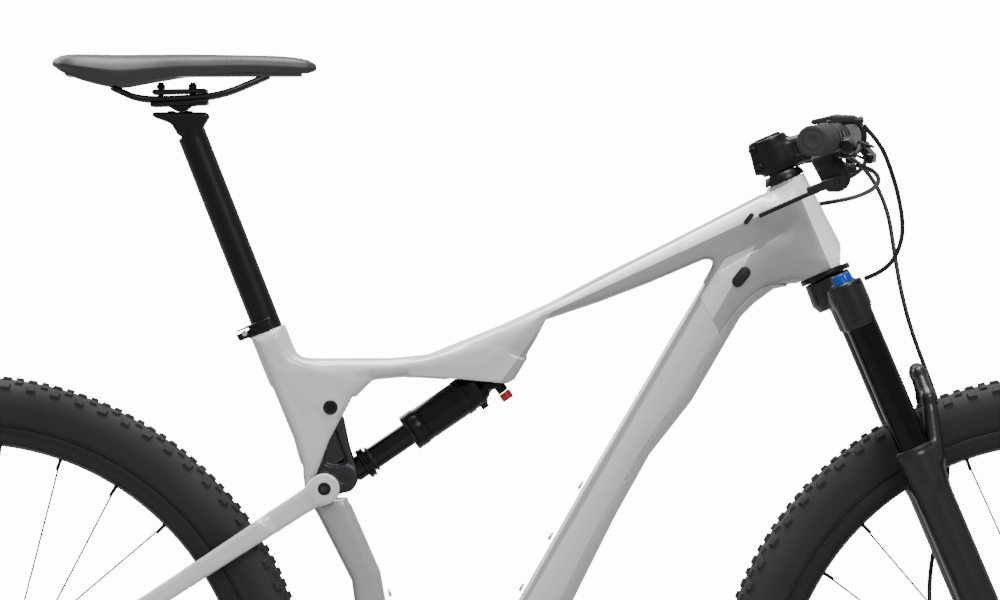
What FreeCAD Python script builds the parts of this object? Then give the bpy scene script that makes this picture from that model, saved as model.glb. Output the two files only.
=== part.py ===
import FreeCAD, Part
import math
import os
import Sketcher
from FreeCAD import Placement, Rotation, Vector

# A full-suspension cross-country mountain bike, in millimetres: +X forward, +Y to the rider's
# left, +Z up, origin on the ground midway between the two wheel contacts.

DRIVING_SIZES = {
    # wheels and tyres
    "wheelbase": 1164, "tyre_radius": 370, "tyre_half_width": 30, "rim_outer_radius": 316,
    "rim_inner_radius": 295, "rim_half_width": 18, "spoke_radius": 1, "spokes_per_wheel": 28,
    "rotor_radius": 80, "rotor_half_thickness": 0.9, "axle_radius": 6, "running_gap": 0.08,
    "joint_gap": 0.3, "seat_gap": 0.05,
    # hubs: half widths between the dropouts, flanges and rotor planes
    "front_hub_half": 55, "rear_hub_half": 74, "hub_barrel_radius": 14, "flange_radius": 26,
    "flange_half": 1.6, "front_flange_y": 24, "rear_left_flange_y": 31, "rear_right_flange_y": -20,
    "front_rotor_y": 39, "rear_rotor_y": 56.5, "rotor_seat_radius": 17, "freehub_radius": 10,
    # frame points, as x and z in the side plane
    "bottom_bracket_x": -145, "bottom_bracket_z": 330, "main_pivot_x": -148, "main_pivot_z": 399,
    "link_pivot_x": -195.3, "link_pivot_z": 704.8, "stay_pivot_x": -201.7, "stay_pivot_z": 618.2,
    "shock_rear_x": -181.4, "shock_rear_z": 628.9, "shock_front_x": -25.2, "shock_front_z": 735.8,
    "top_tube_half_width": 27, "down_tube_half_width": 27, "mast_half_width": 27,
    "channel_half_width": 19.5, "shell_radius": 24.5, "shell_half_width": 46, "shell_bore": 20.5,
    # steering: a point on the axis at the foot of the head tube, and the head angle
    "head_foot_x": 332, "head_foot_z": 849.5, "head_angle": 67, "head_tube_length": 106,
    "head_foot_radius": 25.6, "head_top_radius": 21.5, "head_bore": 17.5, "steerer_radius": 14.3,
    "leg_offset": 12, "leg_y": 70, "stanchion_radius": 17, "lower_leg_radius": 20.5,
    "crown_sleeve_radius": 19.5, "axle_drop": 539.1,
    # seat
    "post_radius": 15.45, "seat_angle": 68.5, "post_axis_x": -274.5, "post_axis_z": 819.3,
    "saddle_clamp_x": -356, "saddle_clamp_z": 1035, "rail_radius": 3.5, "rail_y": 22,
    # cockpit
    "stem_height": 136, "stem_half_height": 19, "bar_x": 354.4, "bar_z": 993.6,
    "bar_clamp_radius": 15.9, "bar_radius": 11.1, "bar_half_length": 370, "bar_end_x": 305.4,
    "bar_end_z": 982.3, "grip_radius": 16.2, "grip_length": 128, "hose_radius": 2.5,
    "lever_pin_radius": 2.5, "lever_half_thickness": 5.5,
    # shock, with positions measured along its axis from the rear eye
    "shock_can_radius": 20.5, "shock_shaft_radius": 12.5, "shock_can_start": 84,
    # drivetrain
    "tooth_pitch": 12.7, "chainring_teeth": 32, "driven_cog_teeth": 18, "pulley_teeth": 12,
    "chain_line": 53.4, "cog_spacing": 3.65, "crank_length": 172, "spindle_radius": 15,
    "crank_y": 64.5, "crank_half_thickness": 7, "chain_half_height": 4.3,
    "guide_pulley_x": -560, "guide_pulley_z": 236, "tension_pulley_x": -528, "tension_pulley_z": 160,
}

COG_TEETH = (10, 12, 14, 16, 18, 21, 24, 28, 33, 39, 45, 51)

document = FreeCAD.newDocument("mountain_bike")
sub_parts = []


class Size:
    """A driving size, or a sum worked out from some: its value and its spreadsheet formula."""

    def __init__(self, value, formula):
        self.value = value
        self.formula = formula

    def __float__(self):
        return float(self.value)

    def __add__(self, other):
        return combined(self, "+", other, self.value + float(other))

    def __radd__(self, other):
        return combined(other, "+", self, float(other) + self.value)

    def __sub__(self, other):
        return combined(self, "-", other, self.value - float(other))

    def __rsub__(self, other):
        return combined(other, "-", self, float(other) - self.value)

    def __mul__(self, other):
        return combined(self, "*", other, self.value * float(other))

    def __rmul__(self, other):
        return combined(other, "*", self, float(other) * self.value)

    def __truediv__(self, other):
        return combined(self, "/", other, self.value / float(other))

    def __neg__(self):
        return combined(0, "-", self, -self.value)


def formula_of(number):
    """The spreadsheet formula of a Size, or a plain number written out."""
    if isinstance(number, Size):
        return number.formula
    return "(%r)" % float(number)


def combined(left, sign, right, value):
    return Size(value, "(%s %s %s)" % (formula_of(left), sign, formula_of(right)))


def size_sheet():
    """Write the driving sizes to a spreadsheet and return each as a Size."""
    sheet = document.addObject("Spreadsheet::Sheet", "Sizes")
    sizes = {}
    for row, (name, value) in enumerate(DRIVING_SIZES.items(), start=1):
        cell = "B%d" % row
        sheet.set("A%d" % row, name)
        sheet.set(cell, str(value))
        sheet.setAlias(cell, name)
        sizes[name] = Size(float(value), "Sizes." + name)
    document.recompute()
    return sizes


S = size_sheet()
GAP = S["joint_gap"]
SEAT = S["seat_gap"]
RUN = S["running_gap"]

# ---------------------------------------------------------------- places

ACROSS = Vector(0, 1, 0)
HEAD_TILT = math.radians(float(S["head_angle"]))
STEER_UP = Vector(-math.cos(HEAD_TILT), 0, math.sin(HEAD_TILT))
STEER_AHEAD = Vector(math.sin(HEAD_TILT), 0, math.cos(HEAD_TILT))
HEAD_FOOT = Vector(float(S["head_foot_x"]), 0, float(S["head_foot_z"]))
SEAT_TILT = math.radians(float(S["seat_angle"]))
POST_UP = Vector(-math.cos(SEAT_TILT), 0, math.sin(SEAT_TILT))
POST_POINT = Vector(float(S["post_axis_x"]), 0, float(S["post_axis_z"]))


def place(name, across=0.0):
    """The named point of the side plane, moved sideways."""
    return Vector(float(S[name + "_x"]), float(across), float(S[name + "_z"]))


def steering(up, ahead=0.0, across=0.0):
    """A point given along the steering axis, ahead of it and across."""
    return HEAD_FOOT + STEER_UP * float(up) + STEER_AHEAD * float(ahead) + ACROSS * float(across)


def seat_line(up, across=0.0):
    """A point on the seatpost's axis."""
    return POST_POINT + POST_UP * float(up) + ACROSS * float(across)


FRONT_AXLE = Vector(float(S["wheelbase"]) / 2, 0, float(S["tyre_radius"]))
REAR_AXLE = Vector(-float(S["wheelbase"]) / 2, 0, float(S["tyre_radius"]))
SHOCK_REAR = place("shock_rear")
SHOCK_FRONT = place("shock_front")
SHOCK_ALONG = (SHOCK_FRONT - SHOCK_REAR).normalize()
SHOCK_DOWN = Vector(SHOCK_ALONG.z, 0, -SHOCK_ALONG.x)


def shock_line(along, down=0.0, across=0.0):
    """A point given along the shock from its rear eye, below its axis and across."""
    return SHOCK_REAR + SHOCK_ALONG * float(along) + SHOCK_DOWN * float(down) + ACROSS * float(across)


# ---------------------------------------------------------------- building blocks


def bind(thing, path, size):
    """Bind a property to its formula, or set it to a plain number."""
    if isinstance(size, Size):
        thing.setExpression(path, size.formula)
    else:
        setattr(thing, path, float(size))


def outline_sketch(body, plane_role, outline):
    """A closed outline of straight lines, each corner placed from the origin by named dimensions."""
    sketch = body.newObject("Sketcher::SketchObject", "Outline")
    plane = [item for item in body.Origin.OriginFeatures if item.Role == plane_role][0]
    sketch.AttachmentSupport = [(plane, "")]
    sketch.MapMode = "FlatFace"
    corners = [Vector(float(across), float(up), 0) for across, up in outline]
    count = len(corners)
    lines = [Part.LineSegment(corners[n], corners[(n + 1) % count]) for n in range(count)]
    sketch.addGeometry(lines, False)
    rules = [Sketcher.Constraint("Coincident", n, 2, (n + 1) % count, 1) for n in range(count)]
    bound = []
    for n, corner in enumerate(outline):
        for kind, size in zip(("DistanceX", "DistanceY"), corner):
            if abs(float(size)) < 1e-9:
                axis = -2 if kind == "DistanceX" else -1
                rules.append(Sketcher.Constraint("PointOnObject", n, 1, axis))
                continue
            bound.append((len(rules), "%s%d" % (kind[-1].lower(), n), size))
            rules.append(Sketcher.Constraint(kind, -1, 1, n, 1, float(size)))
    sketch.addConstraint(rules)
    for index, name, size in bound:
        sketch.renameConstraint(index, name)
        if isinstance(size, Size):
            sketch.setExpression("Constraints." + name, size.formula)
    return sketch


def turned(outline, start, direction, name="Turned"):
    """A turned piece: outline is (along, radius) corners about an axis from start."""
    body = document.addObject("PartDesign::Body", name)
    sketch = outline_sketch(body, "XY_Plane", outline)
    revolution = body.newObject("PartDesign::Revolution", "Revolution")
    revolution.Profile = sketch
    revolution.ReferenceAxis = (sketch, ["H_Axis"])
    revolution.Angle = 360
    body.Placement = Placement(start, Rotation(Vector(1, 0, 0), direction))
    return body


def slab(outline, low, high, name="Slab"):
    """A flat piece: an outline of (x, z) corners in the side plane, from y low to y high."""
    body = document.addObject("PartDesign::Body", name)
    sketch = outline_sketch(body, "XZ_Plane", outline)
    pad = body.newObject("PartDesign::Pad", "Pad")
    pad.Profile = sketch
    bind(pad, "Length", high - low)
    body.Placement = Placement(ACROSS * float(high), Rotation())
    return body


def ring(along_low, along_high, inner, outer, start, direction, name="Ring"):
    """A plain turned ring, or a rod where inner is zero."""
    outline = [(along_low, inner), (along_high, inner), (along_high, outer), (along_low, outer)]
    return turned(outline, start, direction, name)


def rod(start, end, radius, name="Rod"):
    """A round rod between two points."""
    cylinder = document.addObject("Part::Cylinder", name)
    bind(cylinder, "Radius", radius)
    cylinder.Height = (end - start).Length
    cylinder.Placement = Placement(start, Rotation(Vector(0, 0, 1), end - start))
    return cylinder


def block(centre, along, up, length, width, height, name="Block"):
    """A box about a centre: length along a direction, width across it, height up."""
    box = document.addObject("Part::Box", name)
    bind(box, "Length", length)
    bind(box, "Width", width)
    bind(box, "Height", height)
    side = up.cross(along).normalize()
    turn = Rotation(along, side, up, "XZY")
    corner = Vector(-float(length) / 2, -float(width) / 2, -float(height) / 2)
    box.Placement = Placement(centre + turn.multVec(corner), turn)
    return box


def fused(*pieces):
    """One solid made of several."""
    fuse = document.addObject("Part::MultiFuse", "Fuse")
    fuse.Shapes = list(pieces)
    return fuse


def cut(base, *tools):
    """A base with tools taken out of it."""
    tool = tools[0] if len(tools) == 1 else fused(*tools)
    result = document.addObject("Part::Cut", "Cut")
    result.Base = base
    result.Tool = tool
    return result


def grouped(*pieces):
    """Separate solids that share one sub-part."""
    group = document.addObject("Part::Compound", "Group")
    group.Links = list(pieces)
    return group


def named(label, piece):
    """Make a piece a sub-part with a name of its own."""
    piece.Label = label
    sub_parts.append(piece)
    return piece


def lofted(sections, name="Loft"):
    """A closed solid through flat sections, each a list of points with the same count."""
    wires = [Part.makePolygon(section + [section[0]]) for section in sections]
    feature = document.addObject("Part::Feature", name)
    feature.Shape = Part.makeLoft(wires, True, True)
    return feature


def faceted(sections, name="Faceted"):
    """A closed solid through sections that twist, with flat triangles between them."""
    faces = []
    for near, far in zip(sections, sections[1:]):
        for n in range(len(near)):
            m = (n + 1) % len(near)
            for corners in ((near[n], near[m], far[m]), (near[n], far[m], far[n])):
                faces.append(Part.Face(Part.makePolygon(list(corners) + [corners[0]])))
    for end in (sections[0], sections[-1]):
        faces.append(Part.Face(Part.makePolygon(end + [end[0]])))
    shell = Part.makeShell(faces)
    shell.sewShape()
    solid = Part.makeSolid(shell)
    if solid.Volume < 0:
        solid.reverse()
    feature = document.addObject("Part::Feature", name)
    feature.Shape = solid
    return feature


def tangent_path(points):
    """Straight runs joined by arcs as large as their runs allow, and the arcs' radii."""
    edges = []
    radii = []
    start = points[0]
    for before, corner, after in zip(points, points[1:], points[2:]):
        incoming = corner - before
        outgoing = after - corner
        turn = incoming.getAngle(outgoing)
        reach = 0.45 * min(incoming.Length, outgoing.Length)
        radii.append(reach / math.tan(turn / 2))
        arc_start = corner - incoming.normalize() * reach
        arc_end = corner + outgoing.normalize() * reach
        bisector = (arc_start + arc_end) * 0.5 - corner
        hub = corner + bisector.normalize() * math.hypot(radii[-1], reach)
        middle = hub + (corner - hub).normalize() * radii[-1]
        edges.append(Part.LineSegment(start, arc_start).toShape())
        edges.append(Part.Arc(arc_start, middle, arc_end).toShape())
        start = arc_end
    edges.append(Part.LineSegment(start, points[-1]).toShape())
    return Part.Wire(edges), radii


def hose(label, points):
    """A brake hose or cable: one round tube along straight runs and tangent arcs."""
    radius = float(S["hose_radius"])
    path, radii = tangent_path(points)
    direction = points[1] - points[0]
    circle = Part.Wire([Part.Circle(points[0], direction, radius).toShape().Edges[0]])
    tube = path.makePipeShell([circle], True, True)
    expected = math.pi * radius ** 2 * path.Length
    print(label, "length", round(path.Length), "radii", [round(value) for value in radii],
          "volume ratio", round(tube.Volume / expected, 4))
    feature = document.addObject("Part::Feature", label)
    feature.Shape = tube
    return feature


# ---------------------------------------------------------------- frame

TOP_TUBE = [(-268, 757), (-224, 757), (-131, 757.3), (-92, 761.2), (-14, 792.5), (39, 817),
            (92, 844.8), (167, 882), (264, 932), (300, 932), (318, 880), (209.5, 865.2),
            (145.7, 837.8), (92.4, 817.3), (34.7, 798), (23.6, 776.5), (-1.5, 735), (-9, 729.4),
            (-57, 734.8), (-104, 738), (-152, 733.7), (-172.9, 712.7), (-178.9, 700.7), (-230, 690)]
DOWN_TUBE = [(300, 905), (213, 853.7), (170.5, 782.8), (77, 624.5), (6.4, 500.3), (-20, 462),
             (-92, 388), (-135, 352), (-140, 309), (-112, 308), (-62, 348), (36, 452), (61.8, 498.4),
             (107.7, 590), (144, 655), (188.9, 712.3), (226.3, 776.5), (241.4, 802.2),
             (255.6, 816.5), (276.9, 832.4), (312, 840), (340, 860)]
MAST = [(-279, 779), (-250, 790), (-224, 757), (-150, 735), (-172.9, 712.7), (-178.9, 700.7),
        (-195.5, 669), (-200, 657), (-209, 633), (-212, 628), (-212, 610.2), (-195.3, 608.5),
        (-178, 610.2), (-142.5, 528.8), (-125, 430), (-113, 330), (-165, 335), (-166, 399),
        (-166, 470), (-173, 520), (-208, 588), (-224, 615), (-226, 640), (-235, 672)]
LINK_CHANNEL = [(-213, 714), (-196, 724), (-176, 720), (-150, 700), (-120, 660), (-130, 603),
                (-185, 601), (-240, 596), (-240, 640), (-214, 650)]


def main_frame():
    """The one-piece frame: tubes, head tube, bottom bracket shell, link channel and shock pocket."""
    top = slab(TOP_TUBE, -S["top_tube_half_width"], S["top_tube_half_width"], "TopTube")
    down = slab(DOWN_TUBE, -S["down_tube_half_width"], S["down_tube_half_width"], "DownTube")
    mast = slab(MAST, -S["mast_half_width"], S["mast_half_width"], "SeatMast")
    head = turned([(0, 0), (S["head_tube_length"], 0), (S["head_tube_length"], S["head_top_radius"]),
                   (30, S["head_foot_radius"]), (0, S["head_foot_radius"])],
                  HEAD_FOOT, STEER_UP, "HeadTube")
    shell = ring(-S["shell_half_width"], S["shell_half_width"], 0, S["shell_radius"],
                 place("bottom_bracket"), ACROSS, "Shell")
    collar = ring(-70, -36, 0, 20, POST_POINT, POST_UP, "Collar")
    shell_bore = ring(-60, 60, 0, S["shell_bore"], place("bottom_bracket"), ACROSS, "ShellBore")
    head_bore = ring(-20, 130, 0, S["head_bore"], HEAD_FOOT, STEER_UP, "HeadBore")
    post_bore = ring(-127, 40, 0, S["post_radius"] + SEAT, POST_POINT, POST_UP, "PostBore")
    channel = slab(LINK_CHANNEL, -S["channel_half_width"], S["channel_half_width"], "Channel")
    pocket_corners = [shock_line(70, -24.5), shock_line(208, -24.5), shock_line(208, 40),
                      shock_line(70, 40)]
    pocket = slab([(point.x, point.z) for point in pocket_corners], -21.5, 21.5, "ShockPocket")
    above_head = ring(S["head_tube_length"], 160, 0, 60, HEAD_FOOT, STEER_UP, "AboveHead")
    below_head = ring(-40, 0, 0, 45, HEAD_FOOT, STEER_UP, "BelowHead")
    pins = [ring(-30, 30, 0, S["axle_radius"] + SEAT, place("link_pivot"), ACROSS, "LinkBore"),
            ring(-30, 30, 0, S["axle_radius"] + SEAT, place("main_pivot"), ACROSS, "MainBore"),
            ring(-30, 30, 0, 5 + SEAT, SHOCK_FRONT, ACROSS, "ShockBore")]
    whole = fused(top, down, mast, head, shell, collar)
    return named("frame", cut(whole, shell_bore, head_bore, post_bore, channel, pocket, above_head,
                              below_head, *pins))


def headset():
    """Lower and upper bearing rings in the head tube, the top cover and the spacers."""
    bore = S["steerer_radius"] + RUN
    lower = turned([(-6, bore), (12, bore), (12, S["head_bore"] - SEAT), (-0.05, S["head_bore"] - SEAT),
                    (-0.05, 26), (-6, 26)], HEAD_FOOT, STEER_UP, "LowerBearing")
    top = S["head_tube_length"]
    upper = turned([(top - 12, bore), (top + 9.5, bore), (top + 9.5, 19), (top + 0.05, 22.5),
                    (top + 0.05, S["head_bore"] - SEAT), (top - 12, S["head_bore"] - SEAT)],
                   HEAD_FOOT, STEER_UP, "UpperBearing")
    return named("headset", grouped(lower, upper))


def bottom_bracket():
    """Two bearing cups pressed in the bottom bracket shell."""
    cups = []
    for side in (-1, 1):
        half = S["shell_half_width"]
        cups.append(turned([(half - 14, S["spindle_radius"] + RUN), (half + 3, S["spindle_radius"] + RUN),
                            (half + 3, 22), (half + 0.05, 22), (half + 0.05, S["shell_bore"] - SEAT),
                            (half - 14, S["shell_bore"] - SEAT)],
                           place("bottom_bracket"), ACROSS * side, "Cup"))
    return named("bottom_bracket", grouped(*cups))


def seat_clamp():
    """The split collar at the top of the seat tube, with its lug and bolt."""
    centre_up = -34
    band = ring(centre_up, centre_up + 12, S["post_radius"] + SEAT, 20, POST_POINT, POST_UP, "Band")
    behind = seat_line(centre_up + 6) - STEER_AHEAD * 24
    lug = block(behind, STEER_AHEAD, POST_UP, 12, 16, 12, "Lug")
    slot = block(behind, STEER_AHEAD, POST_UP, 24, 1.5, 14, "Slot")
    bolt = rod(behind + ACROSS * 13, behind - ACROSS * 13, 2.5, "Bolt")
    return named("seat_clamp", fused(cut(fused(band, lug), slot), bolt))


def pivot_bolts():
    """The headed pin of the link and the plain pin of the shock's front eye."""
    half = S["mast_half_width"]
    pins = []
    for name, radius, head_radius in (("link_pivot", S["axle_radius"], 7.7),
                                      ("shock_front", Size(5, "5"), None)):
        centre = place(name)
        outline = [(-half, 0), (half, 0), (half, radius), (-half, radius)]
        if head_radius:
            outline = [(-half - 2, 0), (half + 2, 0), (half + 2, head_radius), (half + 0.1, head_radius),
                       (half + 0.1, radius), (-half - 0.1, radius), (-half - 0.1, head_radius),
                       (-half - 2, head_radius)]
        pins.append(turned(outline, centre, ACROSS, "Pin"))
    return named("frame_pivot_bolts", grouped(*pins))


def bottle_bolts():
    """Bottle cage bolts on the down tube and the seat tube."""
    heads = []
    for x, z, tilt in ((73.2, 620.3, 150), (41.1, 565.8, 150), (10, 511.2, 150), (-134.3, 505.9, 17)):
        outward = Vector(math.cos(math.radians(tilt)), 0, math.sin(math.radians(tilt)))
        foot = Vector(x, 0, z) + outward * 0.6
        heads.append(turned([(0, 0), (3, 0), (3, 3), (2, 4.5), (0, 4.5)], foot, outward, "Head"))
    return named("bottle_bolts", grouped(*heads))


def port_plugs():
    """Rubber plugs over the ports on both sides of the down tube and the head tube."""
    plugs = []
    half = S["down_tube_half_width"]
    oval = [(5, 8), (0, 12), (-5, 8), (-7, 0), (-5, -8), (0, -12), (5, -8), (7, 0)]
    turn = math.radians(-38)
    for side in (-1, 1):
        for x, z, scale in ((242.7, 843.9, 1.0), (250.7, 906, 0.55)):
            outline = [(x + scale * (u * math.cos(turn) - v * math.sin(turn)),
                        z + scale * (u * math.sin(turn) + v * math.cos(turn))) for u, v in oval]
            low = half + 0.02 if side > 0 else -half - 2
            high = half + 2 if side > 0 else -half - 0.02
            plugs.append(slab(outline, low, high, "Plug"))
    return named("port_plugs", grouped(*plugs))


# ---------------------------------------------------------------- seat


def seatpost():
    """A straight post whose head carries the saddle clamp's lower cradle."""
    post = ring(-126, 190, 0, S["post_radius"], POST_POINT, POST_UP, "Post")
    hollow = ring(-127, 176, 0, 12.5, POST_POINT, POST_UP, "Hollow")
    head_outline = [(-358, 994), (-334, 1000), (-328, 1010), (-324, 1016), (-328, 1020.2),
                    (-386, 1020.2), (-386, 1015), (-366, 1008)]
    head = slab(head_outline, -15, 15, "Head")
    return named("seatpost", cut(fused(post, head), hollow))


def saddle_clamp():
    """The lower cradle, the upper plate and two upright bolts that hold the rails."""
    pivot = place("saddle_clamp")
    lower = slab([(-388, 1025.5), (-326, 1027.5), (-326, 1034), (-388, 1030)], -27, 27, "LowerCradle")
    arc = [math.radians(angle) for angle in range(-148, -31, 13)]
    curve = [(pivot.x + 14.5 * math.cos(angle), pivot.z + 14.5 * math.sin(angle)) for angle in arc]
    keel = slab(curve, -14, 14, "Keel")
    upper = slab([(-386, 1038.5), (-327, 1040.5), (-327, 1045), (-386, 1044)], -27, 27, "UpperPlate")
    bolts = [rod(Vector(x, 0, 1026), Vector(x, 0, 1055), 3, "Bolt") for x in (-377, -343)]
    channels = [block(Vector(-361.5, side * float(S["rail_y"]), 1034.3), Vector(73, 0, 3.5).normalize(),
                      Vector(-3.5, 0, 73).normalize(), 90, 8.4, 7.8, "RailChannel") for side in (-1, 1)]
    return named("saddle_clamp", cut(fused(lower, keel, upper, *bolts), *channels))


def saddle_rails():
    """Two round rails from the saddle's nose to its wing."""
    radius = float(S["rail_radius"])
    rails = []
    for side in (-1, 1):
        points = [Vector(-428, side * 34, 1046), Vector(-398, side * 22, 1032.5),
                  Vector(-315, side * 22, 1036.5), Vector(-262, side * 9, 1059)]
        path, _ = tangent_path(points)
        circle = Part.Wire([Part.Circle(points[0], points[1] - points[0], radius).toShape().Edges[0]])
        rail = document.addObject("Part::Feature", "Rail")
        rail.Shape = path.makePipeShell([circle], True, True)
        rails.append(rail)
    return named("saddle_rails", grouped(*rails))


SADDLE_STATIONS = [  # x, half width, top, edge height, underside
    (-491, 40, 1080, 1077, 1069), (-478, 62, 1083.5, 1077, 1065), (-430, 72, 1082, 1075, 1062),
    (-380, 60, 1082.5, 1074, 1062), (-330, 34, 1083, 1074, 1065), (-283, 22, 1082, 1073, 1066),
    (-230, 18, 1078.5, 1070, 1064), (-212, 11, 1070, 1067, 1063)]


def saddle_section(station, lower_edge, drop):
    """One section of the saddle at an x, crowned above its edges."""
    x, half, top, edge, under = station
    return [Vector(x, -half, edge), Vector(x, -0.55 * half, top - 1), Vector(x, 0, top - 2),
            Vector(x, 0.55 * half, top - 1), Vector(x, half, edge),
            Vector(x, half * lower_edge, under - drop), Vector(x, -half * lower_edge, under - drop)]


def saddle_pad():
    """The padded top of the saddle, a closed solid of its outer shape."""
    return named("saddle_pad", lofted([saddle_section(station, 0.97, 0) for station in SADDLE_STATIONS]))


def saddle_base():
    """The moulded shell under the pad, with deep wings beside the rails' rear ends."""
    sections = []
    for x, half, _, _, under in SADDLE_STATIONS[1:-1]:
        wing = 16 * math.exp(-((x + 435) / 40.0) ** 2)
        top = under - 0.1
        sections.append([Vector(x, -half * 0.95, top), Vector(x, half * 0.95, top),
                         Vector(x, half * 0.93, top - 3 - wing), Vector(x, half * 0.85, top - 3 - wing),
                         Vector(x, half * 0.75, top - 3), Vector(x, -half * 0.75, top - 3),
                         Vector(x, -half * 0.85, top - 3 - wing), Vector(x, -half * 0.93, top - 3 - wing)])
    return named("saddle_base", lofted(sections))


# ---------------------------------------------------------------- fork and cockpit


def fork_crown():
    """The steerer and the crown with its two leg sleeves."""
    steerer = ring(-30, 157, 0, S["steerer_radius"], HEAD_FOOT, STEER_UP, "Steerer")
    hub = ring(-40, -6.4, 0, 25, HEAD_FOOT, STEER_UP, "CrownHub")
    arms = block(steering(-31, 7), STEER_AHEAD, STEER_UP, 34, 140, 22, "CrownArms")
    pieces = [steerer, hub, arms]
    for side in (-1, 1):
        leg = steering(0, S["leg_offset"], side * float(S["leg_y"]))
        pieces.append(ring(-68.5, -19, 0, S["crown_sleeve_radius"], leg, STEER_UP, "Sleeve"))
    bores = []
    for side in (-1, 1):
        leg = steering(0, S["leg_offset"], side * float(S["leg_y"]))
        bores.append(ring(-80, -24, 0, S["stanchion_radius"] + SEAT, leg, STEER_UP, "SleeveBore"))
    return named("fork_crown", cut(fused(*pieces), *bores))


def stanchions():
    """The two polished inner legs."""
    legs = []
    for side in (-1, 1):
        leg = steering(0, S["leg_offset"], side * float(S["leg_y"]))
        legs.append(ring(-360, -24.2, 14, S["stanchion_radius"], leg, STEER_UP, "Stanchion"))
    return named("stanchions", grouped(*legs))


def fork_lowers():
    """The two lower legs joined by the arch over the tyre, with seals and dropouts."""
    pieces = []
    bores = []
    drop = -S["axle_drop"]
    for side in (-1, 1):
        leg = steering(0, S["leg_offset"], side * float(S["leg_y"]))
        pieces.append(turned([(-520, 0), (-207.7, 0), (-207.7, 18.5), (-214, 21), (-250, 22),
                              (-262, S["lower_leg_radius"]), (-480, S["lower_leg_radius"]), (-520, 14)],
                             leg, STEER_UP, "LowerLeg"))
        bores.append(ring(-480, -200, 0, S["stanchion_radius"] + RUN, leg, STEER_UP, "LegBore"))
        foot = steering(drop + 12, 27, side * 65)
        pieces.append(block(foot, STEER_AHEAD, STEER_UP, 58, 19, 50, "Dropout"))
        knee = steering(-222, 30, side * 66)
        pieces.append(block(knee, STEER_AHEAD, STEER_UP, 34, 12, 26, "ArchFoot"))
        bores.append(ring(-30, 30, 0, S["axle_radius"] + SEAT, FRONT_AXLE + ACROSS * side * 65, ACROSS,
                          "AxleBore"))
        start = steering(-222, 40, side * 66)
        corner = steering(-160, 50, side * 55)
        crown = steering(-138, 50, side * 34)
        for low, high in ((start, corner), (corner, crown)):
            along = (high - low).normalize()
            up = along.cross(STEER_AHEAD).normalize()
            length = (high - low).Length + 14
            pieces.append(block((low + high) * 0.5, along, up, length, 16, 13, "ArchArm"))
    pieces.append(block(steering(-136, 50), ACROSS, STEER_UP, 78, 16, 15, "ArchTop"))
    mount = steering(drop + 52, -14, 56)
    pieces.append(block(mount, STEER_AHEAD, STEER_UP, 24, 13, 60, "CaliperMount"))
    return named("fork_lowers", cut(fused(*pieces), *bores))


def stem():
    """The stem: a clamp on the steerer, a tapering beam and the handlebar's face plate."""
    base = steering(S["stem_height"])
    bar = place("bar")
    reach = bar - base
    along = Vector(reach).normalize()
    up = along.cross(ACROSS * -1).normalize()
    half = S["stem_half_height"]
    height = S["stem_height"]
    clamp = ring(height - half, height + half, 0, 19.5, HEAD_FOOT, STEER_UP, "SteererClamp")
    beam = block((base + bar) * 0.5, along, up, reach.Length, 30, 30, "Beam")
    face = ring(-24, 24, 0, 23, bar, ACROSS, "BarClamp")
    lug = block(base - along * 20, along, STEER_UP, 12, 22, 30, "Lug")
    slot = block(base - along * 22, along, STEER_UP, 24, 1.5, 2 * half + 4, "Slot")
    steerer_bore = ring(100, 170, 0, S["steerer_radius"] + SEAT, HEAD_FOOT, STEER_UP, "SteererBore")
    bar_bore = ring(-40, 40, 0, S["bar_clamp_radius"] + SEAT, bar, ACROSS, "BarBore")
    return named("stem", cut(fused(clamp, beam, face, lug), steerer_bore, bar_bore, slot))


def stem_bolts():
    """Two pinch bolts, four face plate bolts and the top cap."""
    base = steering(S["stem_height"])
    along = (place("bar") - base).normalize()
    heads = []
    for height in (126, 146):
        behind = steering(height) - along * 22
        heads.append(rod(behind - ACROSS * 11.1, behind - ACROSS * 15, 4, "PinchBolt"))
    up = Vector(-along.z, 0, along.x)
    for side in (-1, 1):
        for level in (-1, 1):
            foot = place("bar", side * 17) + along * 22 + up * (level * 14)
            heads.append(rod(foot, foot + along * 4, 3.5, "FaceBolt"))
    heads.append(ring(157.05, 160, 0, 16, HEAD_FOOT, STEER_UP, "TopCap"))
    return named("stem_bolts", grouped(*heads))


def bar_point(distance, side):
    """A point on the swept-back handlebar at a distance from its middle."""
    inner = 45.0
    share = max(0.0, (distance - inner) / (float(S["bar_half_length"]) - inner))
    middle = place("bar")
    end = place("bar_end")
    return middle + (end - middle) * share + ACROSS * side * distance


def handlebar():
    """The bar: a thick middle that tapers to thin swept-back ends."""
    bar = place("bar")
    pieces = [ring(-47, 47, 0, S["bar_clamp_radius"], bar, ACROSS, "Middle")]
    for side in (-1, 1):
        start = bar_point(45, side)
        end = bar_point(float(S["bar_half_length"]) - 4, side)
        length = (end - start).Length
        pieces.append(turned([(0, 0), (length, 0), (length, S["bar_radius"]), (80, S["bar_radius"]),
                              (0, S["bar_clamp_radius"] - 0.4)], start, end - start, "BarSide"))
    return named("handlebar", fused(*pieces))


def grips():
    """Two ribbed grips with a clamp ring and an end cap."""
    pieces = []
    half = float(S["bar_half_length"])
    for side in (-1, 1):
        start = bar_point(half - float(S["grip_length"]), side)
        end = bar_point(half, side)
        length = (end - start).Length
        bore = S["bar_radius"] + SEAT
        pieces.append(turned([(0, bore), (length - 3.8, bore), (length - 3.8, 0), (length, 0),
                              (length, 14), (length - 3, S["grip_radius"]), (12, S["grip_radius"]),
                              (12, S["grip_radius"] + 1), (0, S["grip_radius"] + 1)],
                             start, end - start, "Grip"))
    return named("grips", grouped(*pieces))


BRAKE_SEAT = 204.0
SHIFTER_SEAT = 166.0
REMOTE_SEAT = 140.0
LEVER_AHEAD = Vector(0.94, 0, -0.34).normalize()


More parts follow.
